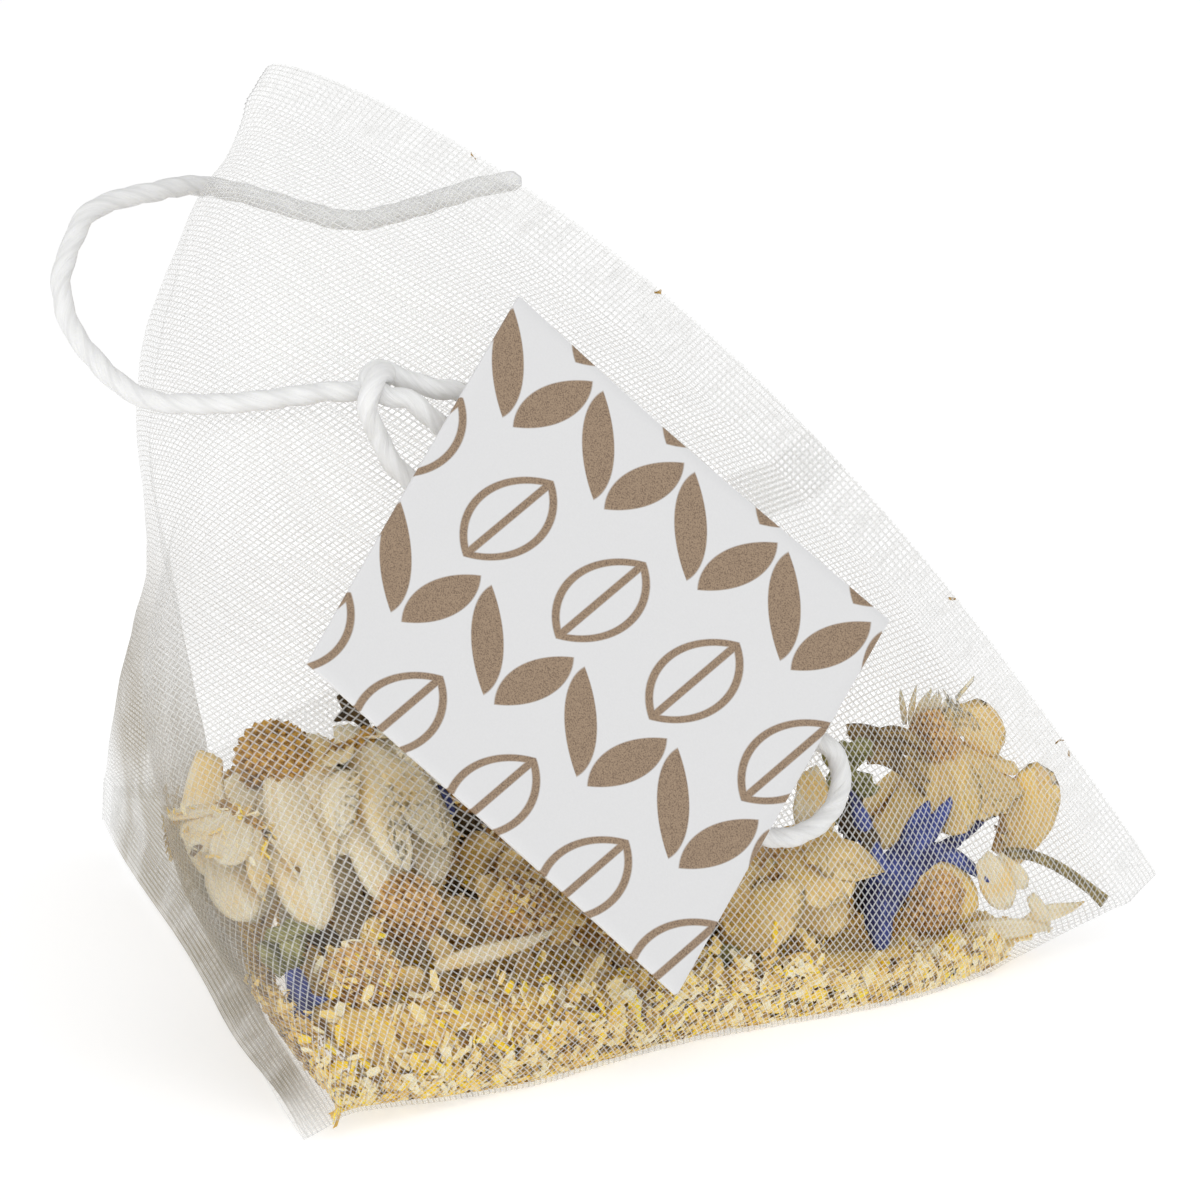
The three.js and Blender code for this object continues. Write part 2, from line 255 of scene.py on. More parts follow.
string_route = [
    # out of the upper seal, down the back of the bag
    (15.5, 0.55, 39.15), (14.9, 0.7, 39.1), (14.0, 0.95, 38.95), (13.1, 1.15, 38.7),
    (11.7, 1.7, 38.15), (10.0, 3.2, 37.3), (7.9, 4.8, 36.6), (5.4, 5.6, 37.1),
    (3.1, 6.0, 37.8), (1.1, 5.4, 38.4), (-0.5, 3.9, 38.8), (-2.1, 2.4, 38.9),
    # round in a free loop on the left
    (-4.2, 1.2, 38.8), (-5.7, 0.0, 38.4), (-6.6, -1.2, 37.3), (-7.3, -2.4, 35.8),
    (-7.1, -3.7, 34.0), (-6.2, -5.0, 32.6), (-4.9, -6.4, 31.4), (-3.6, -7.5, 30.9),
    # across the front to the knot
    (-1.7, -8.9, 31.0), (0.3, -10.2, 31.3), (2.5, -10.3, 31.5), (4.4, -10.0, 31.6),
    # the knot: behind, up and over the front
    (5.7, -9.75, 31.5), (6.6, -9.3, 31.45), (7.25, -9.3, 32.15), (6.7, -10.3, 32.35),
    (6.15, -10.95, 31.6), (6.1, -11.0, 30.6),
    # the long loop, down under the tag and round its eye
    (6.6, -10.8, 29.6), (7.0, -11.0, 28.6), (8.2, -11.1, 27.2), (9.9, -11.5, 25.4),
    (12.7, -12.2, 22.3), (16.0, -12.8, 18.9), (19.3, -13.3, 15.4), (22.3, -13.7, 12.0),
    (25.1, -13.4, 9.7), (27.6, -12.0, 9.8), (29.0, -10.5, 11.0), (29.0, -9.7, 12.6),
    (27.5, -10.0, 13.8), (25.4, -10.6, 15.0), (22.9, -10.5, 17.5), (19.8, -10.4, 20.8),
    (16.5, -9.8, 24.2), (13.2, -9.5, 27.2), (10.8, -9.6, 28.8), (9.3, -10.1, 30.1),
    # into the knot under the first turn, round behind it and out as the tail
    (8.2, -10.3, 31.1), (7.1, -10.2, 31.35), (6.3, -9.7, 32.0), (6.9, -9.0, 32.35),
    (8.1, -8.95, 31.85), (9.6, -8.9, 31.3), (10.8, -8.5, 31.0), (12.2, -8.2, 30.2),
]


def smooth_route(route, step):
    """Points at an even step along the smooth curve through a route's own points."""
    knots = [drawn(*point) for point in route]
    knots = [2 * knots[0] - knots[1], *knots, 2 * knots[-1] - knots[-2]]
    line = []
    for before, start, end, after in zip(knots, knots[1:], knots[2:], knots[3:]):
        gaps = [math.sqrt((b - a).length) for a, b in ((before, start), (start, end), (end, after))]
        leave = (start - before) / gaps[0] - (end - before) / (gaps[0] + gaps[1]) + (end - start) / gaps[1]
        reach = (end - start) / gaps[1] - (after - start) / (gaps[1] + gaps[2]) + (after - end) / gaps[2]
        for part in np.linspace(0, 1, 24, endpoint=False):
            pull = part ** 3 - 2 * part ** 2 + part
            push = part ** 3 - part ** 2
            rise = 3 * part ** 2 - 2 * part ** 3
            line.append(start * (1 - rise) + end * rise + (leave * pull + reach * push) * gaps[1])
    line = np.array(line + [knots[-2]])
    along = np.concatenate([[0], np.cumsum(np.linalg.norm(np.diff(line, axis=0), axis=1))])
    places = np.linspace(0, along[-1], int(along[-1] / step) + 1)
    return np.stack([np.interp(places, along, line[:, axis]) for axis in range(3)], axis=1)


def ply_outline(angle):
    """The section's radius at an angle: three round plies that press into each other."""
    ply_radius, ply_offset = 0.385 * string_diameter, 0.13 * string_diameter
    off_ply = (angle + math.pi / 3) % (2 * math.pi / 3) - math.pi / 3
    inside = ply_radius ** 2 - (ply_offset * math.sin(off_ply)) ** 2
    return ply_offset * math.cos(off_ply) + math.sqrt(inside)


def twisted_tube(name, line, sides=24):
    """A closed tube round a line, its section turning as the plies do. UV is in millimetres."""
    tangents = np.gradient(line, axis=0)
    tangents /= np.linalg.norm(tangents, axis=1)[:, None]
    side = np.cross(tangents[0], (0, 0, 1))
    step = np.linalg.norm(line[1] - line[0])
    vertices = []
    for ring, (centre, tangent) in enumerate(zip(line, tangents)):
        side = side - tangent * side.dot(tangent)
        side /= np.linalg.norm(side)
        other = np.cross(tangent, side)
        turn = 2 * math.pi * ring * step / ply_twist
        swell = 1 + 0.05 * noise.noise(Vector((ring * step / (0.9 * mm), 0, 0)))
        for corner in range(sides):
            angle = 2 * math.pi * corner / sides
            rings_to_end = min(ring, len(line) - 1 - ring)
            radius = ply_outline(angle) * swell * min(1, 0.45 + 0.25 * rings_to_end)
            offset = side * math.cos(angle + turn) + other * math.sin(angle + turn)
            vertices.append(centre + radius * offset)
    faces, turns, lengths = [], [], []
    for ring in range(len(line) - 1):
        for corner in range(sides):
            after = (corner + 1) % sides
            faces.append([ring * sides + corner, ring * sides + after,
                          (ring + 1) * sides + after, (ring + 1) * sides + corner])
            turns += [corner, corner + 1, corner + 1, corner]
            lengths += [ring, ring, ring + 1, ring + 1]
    faces.append(list(range(sides))[::-1])
    faces.append([(len(line) - 1) * sides + corner for corner in range(sides)])
    turns += [0] * 2 * sides
    lengths += [0] * 2 * sides
    mesh = bpy.data.meshes.new(name)
    mesh.from_pydata([tuple(v) for v in vertices], [], faces)
    uv = np.stack([np.array(turns) / sides, np.array(lengths) * step / mm], axis=1)
    mesh.uv_layers.new(name="UVMap").data.foreach_set("uv", uv.ravel())
    mesh.shade_smooth()
    return as_piece(name, mesh)


def cotton():
    """Bleached cotton: fine fibres that run along each ply, and painted shade in the grooves between the
    plies.
    """
    finish = Finish("cotton")
    around, along = finish.uv()
    fibres = finish.noise(finish.vector(around * 46, along * 0.9 + around * 9), 1.0, 3.0)
    grain = finish.noise(finish.vector(around * 18, along * 0.5), 1.0)
    # painted shade: the colour darkens in the three grooves between the plies
    groove = abs((around * 3).math("FRACT") - 0.5).step(0.3, 0.5)
    lit = finish.mix(fibres, (0.76, 0.76, 0.755, 1), (0.93, 0.93, 0.925, 1))
    shade = finish.mix(groove * 0.3, lit, (0.6, 0.6, 0.59, 1))
    normal = finish.bump(fibres + grain * 0.6, 0.05 * mm, 0.9)
    return finish.surface(
        Base_Color=shade, Roughness=0.85, Normal=normal,
        Subsurface_Weight=0.25, Subsurface_Radius=(0.4 * mm, 0.4 * mm, 0.35 * mm), Sheen_Weight=0.25,
    )


string_line = smooth_route(string_route, 0.16 * mm)
string = twisted_tube("cotton_string", string_line)
string.data.materials.append(cotton())
into_frame(string, "string", "string", "string_knot", "string_loop", "string_tail")

# ---------------------------------------------------------------- mesh bag
# One sheet of fine woven mesh, about 125 mm by 48 mm. It is rolled into a tube with a
# narrow welded overlap at the back, then welded shut across one end along AB and across
# the other end along CD, at right angles, so that it opens into a pyramid.

corner_a, corner_b = np.array((2.9, -0.1, 45.5)), np.array((46.9, -0.3, 3.2))
corner_c, corner_d = np.array((0, -28.9, 0.3)), np.array((-0.3, 31.7, 0.3))
seal_share = 0.05  # each seal's share of the length of the tube
rounding = 0.07  # how far a soft fold is rounded, as a share of the girth
seal_bow, seal_bow_reach = 15.8, 0.45
mesh_pitch = 0.29  # millimetres from thread to thread
sheet_length = 48.0  # millimetres from cut edge to cut edge
overlap_at, overlap_share = 0.715, 0.022  # of the girth: where the tube's own seam lies
seal_gap = 0.07  # between the two layers in a seal, in millimetres
string_at = 0.235  # of AB, from A: where the string is welded into the seal
string_swell, swell_reach = 0.5, 0.75  # millimetres that each layer stands off there, and how wide


def unit(vector):
    return vector / np.linalg.norm(vector)


mid_ab, mid_cd = (corner_a + corner_b) / 2, (corner_c + corner_d) / 2
along_ab, along_cd = unit(corner_b - corner_a), unit(corner_d - corner_c)
tube_axis = unit(mid_cd - mid_ab)
half_ab = np.linalg.norm(corner_b - corner_a) / 2
half_cd = np.linalg.norm(corner_d - corner_c) / 2
bag_centre = (mid_ab + mid_cd) / 2


def outward_normal(p, q, r):
    normal = unit(np.cross(q - p, r - p))
    return -normal if normal.dot(p - bag_centre) < 0 else normal


front_normal = outward_normal(corner_a, corner_b, corner_c)
back_normal = outward_normal(corner_a, corner_b, corner_d)
left_normal = outward_normal(corner_a, corner_c, corner_d)
under_normal = outward_normal(corner_b, corner_c, corner_d)

# Each side: the middle of it as a share of the girth, whether it is widest at the upper
# seal, how far it swells, and which way is out.
bag_sides = [
    (0.25, True, 1.6, front_normal), (0.75, True, 1.5, back_normal),
    (0.0, False, -0.5, left_normal), (0.5, False, 3.0, under_normal),
]
# Where the contents or the handling have pushed the mesh: the girth and the length there,
# how far each way the push spreads, and the push itself.
bag_pushes = [
    (0.93, 0.38, 0.15, 0.27, (-4.2, 0, 0)),  # back left fold
    (0.82, 0.82, 0.12, 0.18, (-1.3, 0, 0)),  # above corner D
    (0.16, 0.58, 0.12, 0.27, (-7.8, 0, 0)),  # flowers, front left
    (0.43, 0.33, 0.12, 0.24, (0.6, -1.6, -2.4)),  # lower front fold
    (0.32, 0.72, 0.10, 0.20, (0, -1.6, -1.0)),  # near corner C
    (0.0, 0.09, 0.10, 0.06, (1.0, 0, -0.3)),  # tuck under corner A
    (0.19, 1.0, 0.07, 0.08, (0.9, 0, 0)),  # wave in the lower seal
    (0.19, 0.80, 0.06, 0.13, (-1.6, 0, 0)),  # crease between the front and the left side
    (0.5, 0.05, 0.05, 0.05, (0.3, 0, 0.5)),  # corner B drawn up to a point
    (0.0, 0.045, 0.03, 0.04, (0.5, 0, 0.1)),  # corner A drawn in to a point
]
weld_rise_c, weld_rise_d = np.array((2.2, 0, 0.9)), np.array((0.2, -0.6, 2.3))
upper_weld_depth = 2.3


def rectangle_trace(girth, fall, half_width, half_depth):
    """A slice of the tube, all width at AB and all depth at CD, walked at an even pace."""
    turn = np.mod(girth, 1)
    quarter = np.minimum(3, np.floor(turn * 4))
    part = turn * 4 - quarter
    step = np.where(quarter % 2 == 0, part, 1 - part)
    width = np.where(step < fall, half_width, half_width * (1 - step) / np.maximum(1 - fall, 1e-6))
    depth = np.where(step < fall, half_depth * step / np.maximum(fall, 1e-6), half_depth)
    leftwards = (quarter == 0) | (quarter == 3)
    return np.where(leftwards, -width, width), np.where(quarter < 2, -depth, depth)


def from_middle(girth, middle):
    away = girth - middle
    return np.abs(away - np.round(away))


def share_of_ab(girth):
    """How far along AB from A a place on the upper seal lies."""
    turn = np.mod(girth, 1)
    return np.where(turn < 0.5, 2 * turn, 2 - 2 * turn)


def mesh_points(girth, length):
    """Places on the bag in the drawing's millimetres: girth is 0 in the middle of the left
    side, 0.25 at the front, 0.5 below, and length is 0 at the cut edge AB and 1 at CD."""
    girth, length = np.broadcast_arrays(np.asarray(girth, float), np.asarray(length, float))
    fall = np.clip((length - seal_share) / (1 - 2 * seal_share), 0, 1)
    window = rounding * np.sin(np.pi * fall) ** 0.7 + 0.012
    across, deep = np.zeros(girth.shape), np.zeros(girth.shape)
    samples = 11
    for sample in range(samples):
        shifted = girth + ((sample + 0.5) / samples - 0.5) * window
        half_width, half_depth = half_ab * (1 - fall), half_cd * fall
        width, depth = rectangle_trace(shifted, fall, half_width, half_depth)
        across, deep = across + width / samples, deep + depth / samples
    towards_d = np.clip((deep / half_cd + 1) / 2, 0, 1)[..., None]
    upper_weld = mid_ab + tube_axis * upper_weld_depth
    lower_weld = mid_cd + weld_rise_c + (weld_rise_d - weld_rise_c) * towards_d
    point = upper_weld + (lower_weld - upper_weld) * fall[..., None]
    in_upper, in_lower = length < seal_share, length > 1 - seal_share
    upper_share, lower_share = (length / seal_share)[..., None], ((1 - length) / seal_share)[..., None]
    point = np.where(in_upper[..., None], mid_ab + (upper_weld - mid_ab) * upper_share, point)
    point = np.where(in_lower[..., None], mid_cd + (lower_weld - mid_cd) * lower_share, point)
    point = point + across[..., None] * along_ab + deep[..., None] * along_cd

    share = share_of_ab(girth)
    bow = seal_bow * share ** 0.7 * (1 - share) * np.exp(-((length / seal_bow_reach) ** 2))
    point = point - bow[..., None] * tube_axis
    for middle, widest_at_top, swell, normal in bag_sides:
        taper = 1 - fall if widest_at_top else fall
        away = from_middle(girth, middle) / (taper / 4 + 1e-4)
        stand = np.where(away < 1, (1 - away ** 2) * np.sin(np.pi * fall) * taper * 2, 0)
        point = point + swell * stand[..., None] * normal
    for at_girth, at_length, girth_spread, length_spread, push in bag_pushes:
        away = (from_middle(girth, at_girth) / girth_spread) ** 2
        away = away + ((length - at_length) / length_spread) ** 2
        point = point + np.exp(-away)[..., None] * np.array(push)

    softness = 0.6  # the weight of the contents lays the underside flat on the table
    height = point[..., 2]
    lifted = np.maximum(height, 0)
    eased = np.sqrt(lifted ** 2 + softness ** 2) - softness * np.exp(-lifted / softness)
    point[..., 2] = np.where(height > 0, np.maximum(0, eased), 0)
    return point


def bag_normals(girth, length):
    """The outward direction of the bag at these places."""
    step = 0.004
    low, high = np.maximum(length - step, 0), np.minimum(length + step, 1)
    round_it = mesh_points(girth + step, length) - mesh_points(girth - step, length)
    down_it = mesh_points(girth, high) - mesh_points(girth, low)
    normal = np.cross(down_it, round_it)
    return normal / np.maximum(np.linalg.norm(normal, axis=-1, keepdims=True), 1e-9)


def sheet_of_mesh(name, girths=420, lengths=150):
    """The sheet, open at its edges, in rows from AB to CD. UV is in threads."""
    girth = np.linspace(overlap_at, overlap_at + 1 + overlap_share, girths)[None, :]
    length = np.linspace(0, 1, lengths)[:, None]
    girth, length = (grid + np.zeros((lengths, girths)) for grid in (girth, length))
    points = mesh_points(girth, length)
    normals = bag_normals(girth, length)
    # the overlap lies on the sheet below it, and the two layers of a seal on each other
    past = np.clip((girth - overlap_at - 1 + overlap_share / 2) / (overlap_share / 2), 0, 1)
    upper = np.clip(1 - length / (2 * seal_share), 0, 1)
    lower = np.clip(1 - (1 - length) / (2 * seal_share), 0, 1)
    near_end = np.where(np.mod(girth, 1) < 0.5, -1, 1)
    left = np.where(from_middle(girth, 0) < 0.25, 1, -1)
    lift = 0.1 * past[..., None] * normals
    lift = lift + (upper * near_end * seal_gap / 2)[..., None] * np.array(along_cd)
    lift = lift + (lower * left * -seal_gap / 2)[..., None] * np.array(along_ab)
    # the upper seal swells where the end of the string is welded into it
    from_string = ((share_of_ab(girth) - string_at) * 2 * half_ab / swell_reach) ** 2
    swell = string_swell * np.exp(-from_string - (length / 0.09) ** 2)
    lift = lift + (swell * near_end)[..., None] * np.array(along_cd)
    # light creases and waves from the handling
    for row in range(lengths):
        for column in range(girths):
            spot = Vector(points[row, column])
            wave = noise.noise(spot / 5.5) * 0.22 + noise.noise(spot / 1.9 + Vector((9, 0, 0))) * 0.05
            calm = min(1.0, length[row, 0] * 8, (1 - length[row, 0]) * 8)
            points[row, column] += normals[row, column] * wave * calm
    points = points + lift
    points[..., 2] = np.maximum(points[..., 2], 0.02)
    vertices = (points * mm - np.array(standing_centre)).reshape(-1, 3)
    at = np.arange(lengths * girths).reshape(lengths, girths)
    faces = np.stack([at[:-1, :-1], at[1:, :-1], at[1:, 1:], at[:-1, 1:]], axis=-1).reshape(-1, 4)
    mesh = bpy.data.meshes.new(name)
    mesh.from_pydata(vertices.tolist(), [], faces.tolist())
    threads = np.stack([girth * 4 * half_ab / mesh_pitch, length * sheet_length / mesh_pitch], axis=-1)
    mesh.uv_layers.new(name="UVMap").data.foreach_set("uv", threads.reshape(-1, 2)[faces.ravel()].ravel())
    mesh.shade_smooth()
    return as_piece(name, mesh)


def woven_mesh():
    """Clear white thread in an open plain weave, melted together along the seals."""
    finish = Finish("woven_mesh")
    across, along = finish.uv()
    thread = 0.28  # a thread's share of the pitch
    waver = finish.noise(finish.vector(across * 0.05, along * 0.05), 1.0, 2.0) - 0.5
    from_warp = abs((across + waver * 0.5).math("FRACT") - 0.5) * 2
    from_weft = abs((along + waver * 0.5).math("FRACT") - 0.5) * 2
    warp = from_warp < thread
    weft = from_weft < thread
    # plain weave: over and under by turns, offset by one on the next thread
    crossing = (across.math("FLOOR") + along.math("FLOOR")) * 0.5
    over = (crossing.math("FRACT") > 0.25) * 1.0
    lift_warp = (1 - from_warp / thread).math("MAXIMUM", 0).math("POWER", 0.5) * (0.6 + over * 0.4)
    lift_weft = (1 - from_weft / thread).math("MAXIMUM", 0).math("POWER", 0.5) * (1 - over * 0.4)
    height = lift_warp.math("MAXIMUM", lift_weft)
    covered = warp.math("MAXIMUM", weft)
    # the welds: the threads run together in small streaks
    length_share = along * (mesh_pitch / sheet_length)
    in_weld = (1 - length_share.step(0.035, 0.05)) + length_share.step(0.95, 0.965)
    streaks = finish.noise(finish.vector(across * 0.5, along * 0.16), 1.0, 3.0, 1.5).step(0.48, 0.62)
    alpha = (covered * (0.22 + height * 0.45)).math("MAXIMUM", in_weld * streaks * 0.28)
    # painted shade: each thread is darker at its sides and where it dips under the crossing thread
    tone = finish.mix(height, (0.74, 0.74, 0.725, 1), (0.97, 0.97, 0.96, 1))
    # tea dust in the weave, low on the left side, and painted shade there too: the threads darker,
    # olive-brown and more opaque
    round_it = across * (mesh_pitch / (4 * half_ab))
    from_left = abs((round_it + 0.5).math("FRACT") - 0.5)
    cloud = finish.noise(finish.place(), 0.3 / mm, 2.0).step(0.25, 0.6)
    dust_and_shade = length_share.step(0.5, 0.84) * (1 - from_left.step(0.17, 0.25)) * (cloud * 0.25 + 0.75)
    tone = finish.mix(dust_and_shade * 0.92, tone, (0.24, 0.18, 0.075, 1))
    alpha = alpha.math("MAXIMUM", dust_and_shade * (covered * 0.4 + 0.48))
    normal = finish.bump(height, 0.06 * mm, 0.8)
    # the threads carry a faint painted glow in their own tone
    return finish.surface(
        Base_Color=tone, Roughness=0.45, Alpha=alpha, Normal=normal,
        Emission_Color=tone, Emission_Strength=0.04,
    )


mesh_bag = sheet_of_mesh("mesh_sheet")
mesh_bag.data.materials.append(woven_mesh())
into_frame(mesh_bag, "mesh", "mesh_bag")

# ---------------------------------------------------------------- paper tag
# A square of white paper, printed all over in bronze brown, in rows that run off its
# edges. It hangs on the string's loop and lies on the front of the bag, a little curled.

tag_side = 24.5 * mm
tag_thickness = 0.2 * mm
tag_centre = drawn(16.6, -14.2, 19.8)
tag_normal = Vector(front_normal)
tag_up = Vector((0.529, 0.639, 0.559)).normalized()
tag_right = tag_up.cross(tag_normal).normalized()


def paper_tag():
    deselect_all()
    bpy.ops.mesh.primitive_grid_add(x_subdivisions=40, y_subdivisions=40, size=tag_side)
    tag = bpy.context.object
    tag.name = "paper_tag"
    sag = 0.45 * mm
    for vertex in tag.data.vertices:
        x, y = vertex.co.x / tag_side, vertex.co.y / tag_side
        vertex.co.z = sag * ((x + y) ** 2 - 0.35) + 0.12 * mm * math.sin(5 * x - 2 * y)
    solid = tag.modifiers.new("thickness", "SOLIDIFY")
    solid.thickness = tag_thickness
    solid.offset = 0
    soft = tag.modifiers.new("cut_edge", "BEVEL")
    soft.width = 0.04 * mm
    soft.segments = 2
    soft.limit_method = "ANGLE"
    for modifier in ("thickness", "cut_edge"):
        bpy.ops.object.modifier_apply(modifier=modifier)
    turn = Matrix((tag_right, tag_up, tag_normal)).transposed().to_4x4()
    tag.data.transform(Matrix.Translation(tag_centre) @ turn)
    bpy.ops.object.shade_smooth_by_angle(angle=math.radians(40))
    return tag


def printed_paper():
    """Smooth white paper with rows of leaves and sprigs in a mottled bronze ink."""
    finish = Finish("printed_paper")
    across, up = (coordinate * (tag_side / mm) for coordinate in finish.uv())
    row_gap, leaf_gap = 13.0, 6.1  # millimetres
    grain = finish.noise(finish.place(), 9 / mm, 3.0)
    blur = 0.05

    def leaf(x, y, tall, wide):
        """How far inside a leaf's outline a place is: two arcs that meet in points."""
        radius = (tall ** 2 + wide ** 2) / (4 * wide)
        outside = (abs(x) + (radius - wide / 2)).math("POWER", 2) + y.math("POWER", 2)
        return radius - outside.math("SQRT")

    def row_of(value, gap, start):
        return ((value - start) / gap + 0.5).math("FRACT") * gap - gap / 2

    bold_gap, bold_start = leaf_gap / 2, 1.2
    bold_x, bold_y = row_of(across, bold_gap, bold_start), row_of(up, row_gap, 21.1)
    number = ((across - bold_start) / bold_gap + 0.5).math("FLOOR") * 0.5
    lean = (number.math("FRACT") > 0.25) * 0.9 - 0.45
    bold = leaf(bold_x - bold_y * lean, bold_y, 5.2, 2.1).step(-blur, blur)
    fine_x, fine_y = row_of(across, leaf_gap, 5.2), row_of(up, row_gap, 14.3)
    sprig = leaf(fine_x - fine_y * 0.3, fine_y, 6.9, 3.9)
    outline = 1 - abs(sprig - 0.2).step(0.2 - blur, 0.2 + blur)
    rib = (1 - abs(fine_x - fine_y * 0.3).step(0.2 - blur, 0.2 + blur)) * sprig.step(-blur, blur)
    ink = bold.math("MAXIMUM", outline).math("MAXIMUM", rib)
    specks = finish.noise(finish.place(), 14 / mm, 2.0).step(0.3, 0.62)
    ink_colour = finish.mix(specks, (0.16, 0.095, 0.05, 1), (0.36, 0.25, 0.155, 1))
    paper_colour = finish.mix(grain, (0.74, 0.74, 0.745, 1), (0.79, 0.79, 0.795, 1))
    colour = finish.mix(ink * 0.96, paper_colour, ink_colour)
    roughness = 0.62 - ink * 0.12
    return finish.surface(Base_Color=colour, Roughness=roughness, Normal=finish.bump(grain, 0.012 * mm, 0.5))


tag = paper_tag()
tag.data.materials.append(printed_paper())
into_frame(tag, "paper", "tag")

# ---------------------------------------------------------------- chamomile heads
# Dried chamomile: each head is a domed button of tiny florets with pale, grooved petals
# round it, folded back, closed up or shrivelled. They lie loose on each other in the bag.

chance = random.Random(7)
bag_walls = BVHTree.FromPolygons(
    [vertex.co for vertex in mesh_bag.data.vertices],
    [tuple(face.vertices) for face in mesh_bag.data.polygons],
)
contents_gap = 0.22 * mm  # between the mesh and what it holds


def keep_in_bag(piece):
    """Presses what would stand through the mesh flat against the inside of it."""
    for vertex in piece.data.vertices:
        place, normal, _, _ = bag_walls.find_nearest(vertex.co)
        if (vertex.co - place).dot(normal) > -contents_gap:
            vertex.co = place - normal * contents_gap
    piece.data.update()


def select_only(*things):
    """Selects these and nothing else, and makes the first of them the active one."""
    deselect_all()
    for thing in things:
        thing.select_set(True)
    bpy.context.view_layer.objects.active = things[0]


def joined(name, things):
    """One object from several, as one mesh."""
    select_only(*things)
    if len(things) > 1:
        bpy.ops.object.join()
    whole = bpy.context.object
    whole.name = whole.data.name = name
    return whole


def thickened(piece, thickness):
    """Gives a thin piece its thickness."""
    select_only(piece)
    solid = piece.modifiers.new("thickness", "SOLIDIFY")
    solid.thickness = thickness
    solid.offset = 0
    bpy.ops.object.modifier_apply(modifier="thickness")
    return piece


def curve_at(path, share):
    """A place on the smooth curve that starts, aims and ends at a path's points."""
    points = list(path)
    while len(points) > 1:
        points = [a.lerp(b, share) for a, b in zip(points, points[1:])]
    return points[0]


def ahead_at(path, share):
    """The way that the curve runs at this share of it."""
    step = 0.03
    return (curve_at(path, min(1, share + step)) - curve_at(path, max(0, share - step))).normalized()


def blade(path, outline, facing, cup=0.0, grooves=0.0, twist=0.0, across=6, along=10):
    """A thin leaf, petal or shred along a curve. outline gives its half width at a share of
    its length, facing is the way its face looks, cup bends its edges away from that, and
    grooves is the depth of the furrows along it, both as shares of its half width."""
    deselect_all()
    bpy.ops.mesh.primitive_grid_add(x_subdivisions=across, y_subdivisions=along, size=2)
    piece = bpy.context.object
    for vertex in piece.data.vertices:
        side, share = vertex.co.x, (vertex.co.y + 1) / 2
        middle = curve_at(path, share)
        ahead = ahead_at(path, share)
        sideways = ahead.cross(facing).normalized()
        sideways.rotate(Matrix.Rotation(twist * share, 3, ahead))
        out = sideways.cross(ahead)
        half = outline(share)
        depth = -cup * side * side + grooves * math.cos(2.5 * math.pi * side)
        vertex.co = middle + sideways * side * half + out * half * depth
    return piece


def petal_outline(half):
    """Half as wide at its foot as in its middle, with a round tip."""
    def at(share):
        tip = max(0, (share - 0.62) / 0.38)
        return half * (0.5 + 0.5 * min(1, share * 2)) * math.sqrt(max(0.02, 1 - tip * tip))
    return at


def pointed_outline(half):
    """Widest a little before its middle, and drawn out to a point."""
    def at(share):
        return half * max(0.06, math.sin(math.pi * min(1, 0.18 + share * 0.82)) ** 0.8)
    return at


def button_master():
    """The domed button, one unit in radius, its florets packed in a spiral."""
    deselect_all()
    bpy.ops.mesh.primitive_uv_sphere_add(segments=20, ring_count=12, radius=0.93)
    dome = bpy.context.object
    bpy.ops.object.mode_set(mode="EDIT")
    bpy.ops.mesh.select_all(action="SELECT")
    bpy.ops.mesh.bisect(plane_co=(0, 0, -0.55), plane_no=(0, 0, 1), clear_inner=True, use_fill=True)
    bpy.ops.mesh.inset(thickness=0.25, depth=-0.12)
    bpy.ops.object.mode_set(mode="OBJECT")
    dome.data.shade_smooth()
    bpy.ops.mesh.primitive_ico_sphere_add(subdivisions=1, radius=0.13)
    floret = bpy.context.object
    florets, count = [], 120
    for number in range(count):
        height = 1 - 1.45 * (number + 0.5) / count
        turn = number * math.radians(137.5)
        ring = math.sqrt(1 - height * height)
        place = Vector((ring * math.cos(turn), ring * math.sin(turn), height))
        size = 1.1 + 0.25 * chance.random()
        pose = Matrix.Translation(place * 0.93) @ place.to_track_quat("Z", "Y").to_matrix().to_4x4()
        copy = as_piece("floret", floret.data.copy())
        copy.data.transform(pose @ Matrix.Diagonal((size, size, size * 1.25, 1)))
        copy.data.shade_smooth()
        florets.append(copy)
    bpy.data.objects.remove(floret)
    return joined("button_master", [dome, *florets])


def pose_along(centre, axis, radii):
    """Turns a unit piece's Z to an axis, sizes it and puts it at its centre."""
    turn = axis.to_track_quat("Z", "Y").to_matrix().to_4x4()
    return Matrix.Translation(centre) @ turn @ Matrix.Diagonal((*radii, 1))


def petals_of(centre, axis, radius, petals, length, width, opening, closing):
    """Petals in a ring: opening is the angle from the axis at which they start, in degrees,
    and closing how far they bend on from there towards the axis or, below 0, away."""
    first = axis.orthogonal().normalized()
    second = axis.cross(first)
    made = []
    for number in range(petals):
        turn = 2 * math.pi * (number + chance.uniform(-0.3, 0.3)) / petals
        outwards = first * math.cos(turn) + second * math.sin(turn)
        start = centre + outwards * radius * 0.8 - axis * radius * 0.35
        angle = math.radians(opening + chance.uniform(-14, 14))
        bend = math.radians(closing + chance.uniform(-16, 16))
        reach = length * chance.uniform(0.75, 1)
        path = [start]
        for _ in range(3):
            path.append(path[-1] + (axis * math.cos(angle) + outwards * math.sin(angle)) * reach / 3)
            angle -= bend / 3
        facing = (outwards + axis * 0.4).normalized()
        half = width / 2 * chance.uniform(0.8, 1.05)
        made.append(blade(
            path, petal_outline(half), facing, cup=chance.uniform(0.15, 0.5), grooves=0.10,
            twist=chance.uniform(-0.4, 0.4),
        ))
    return made


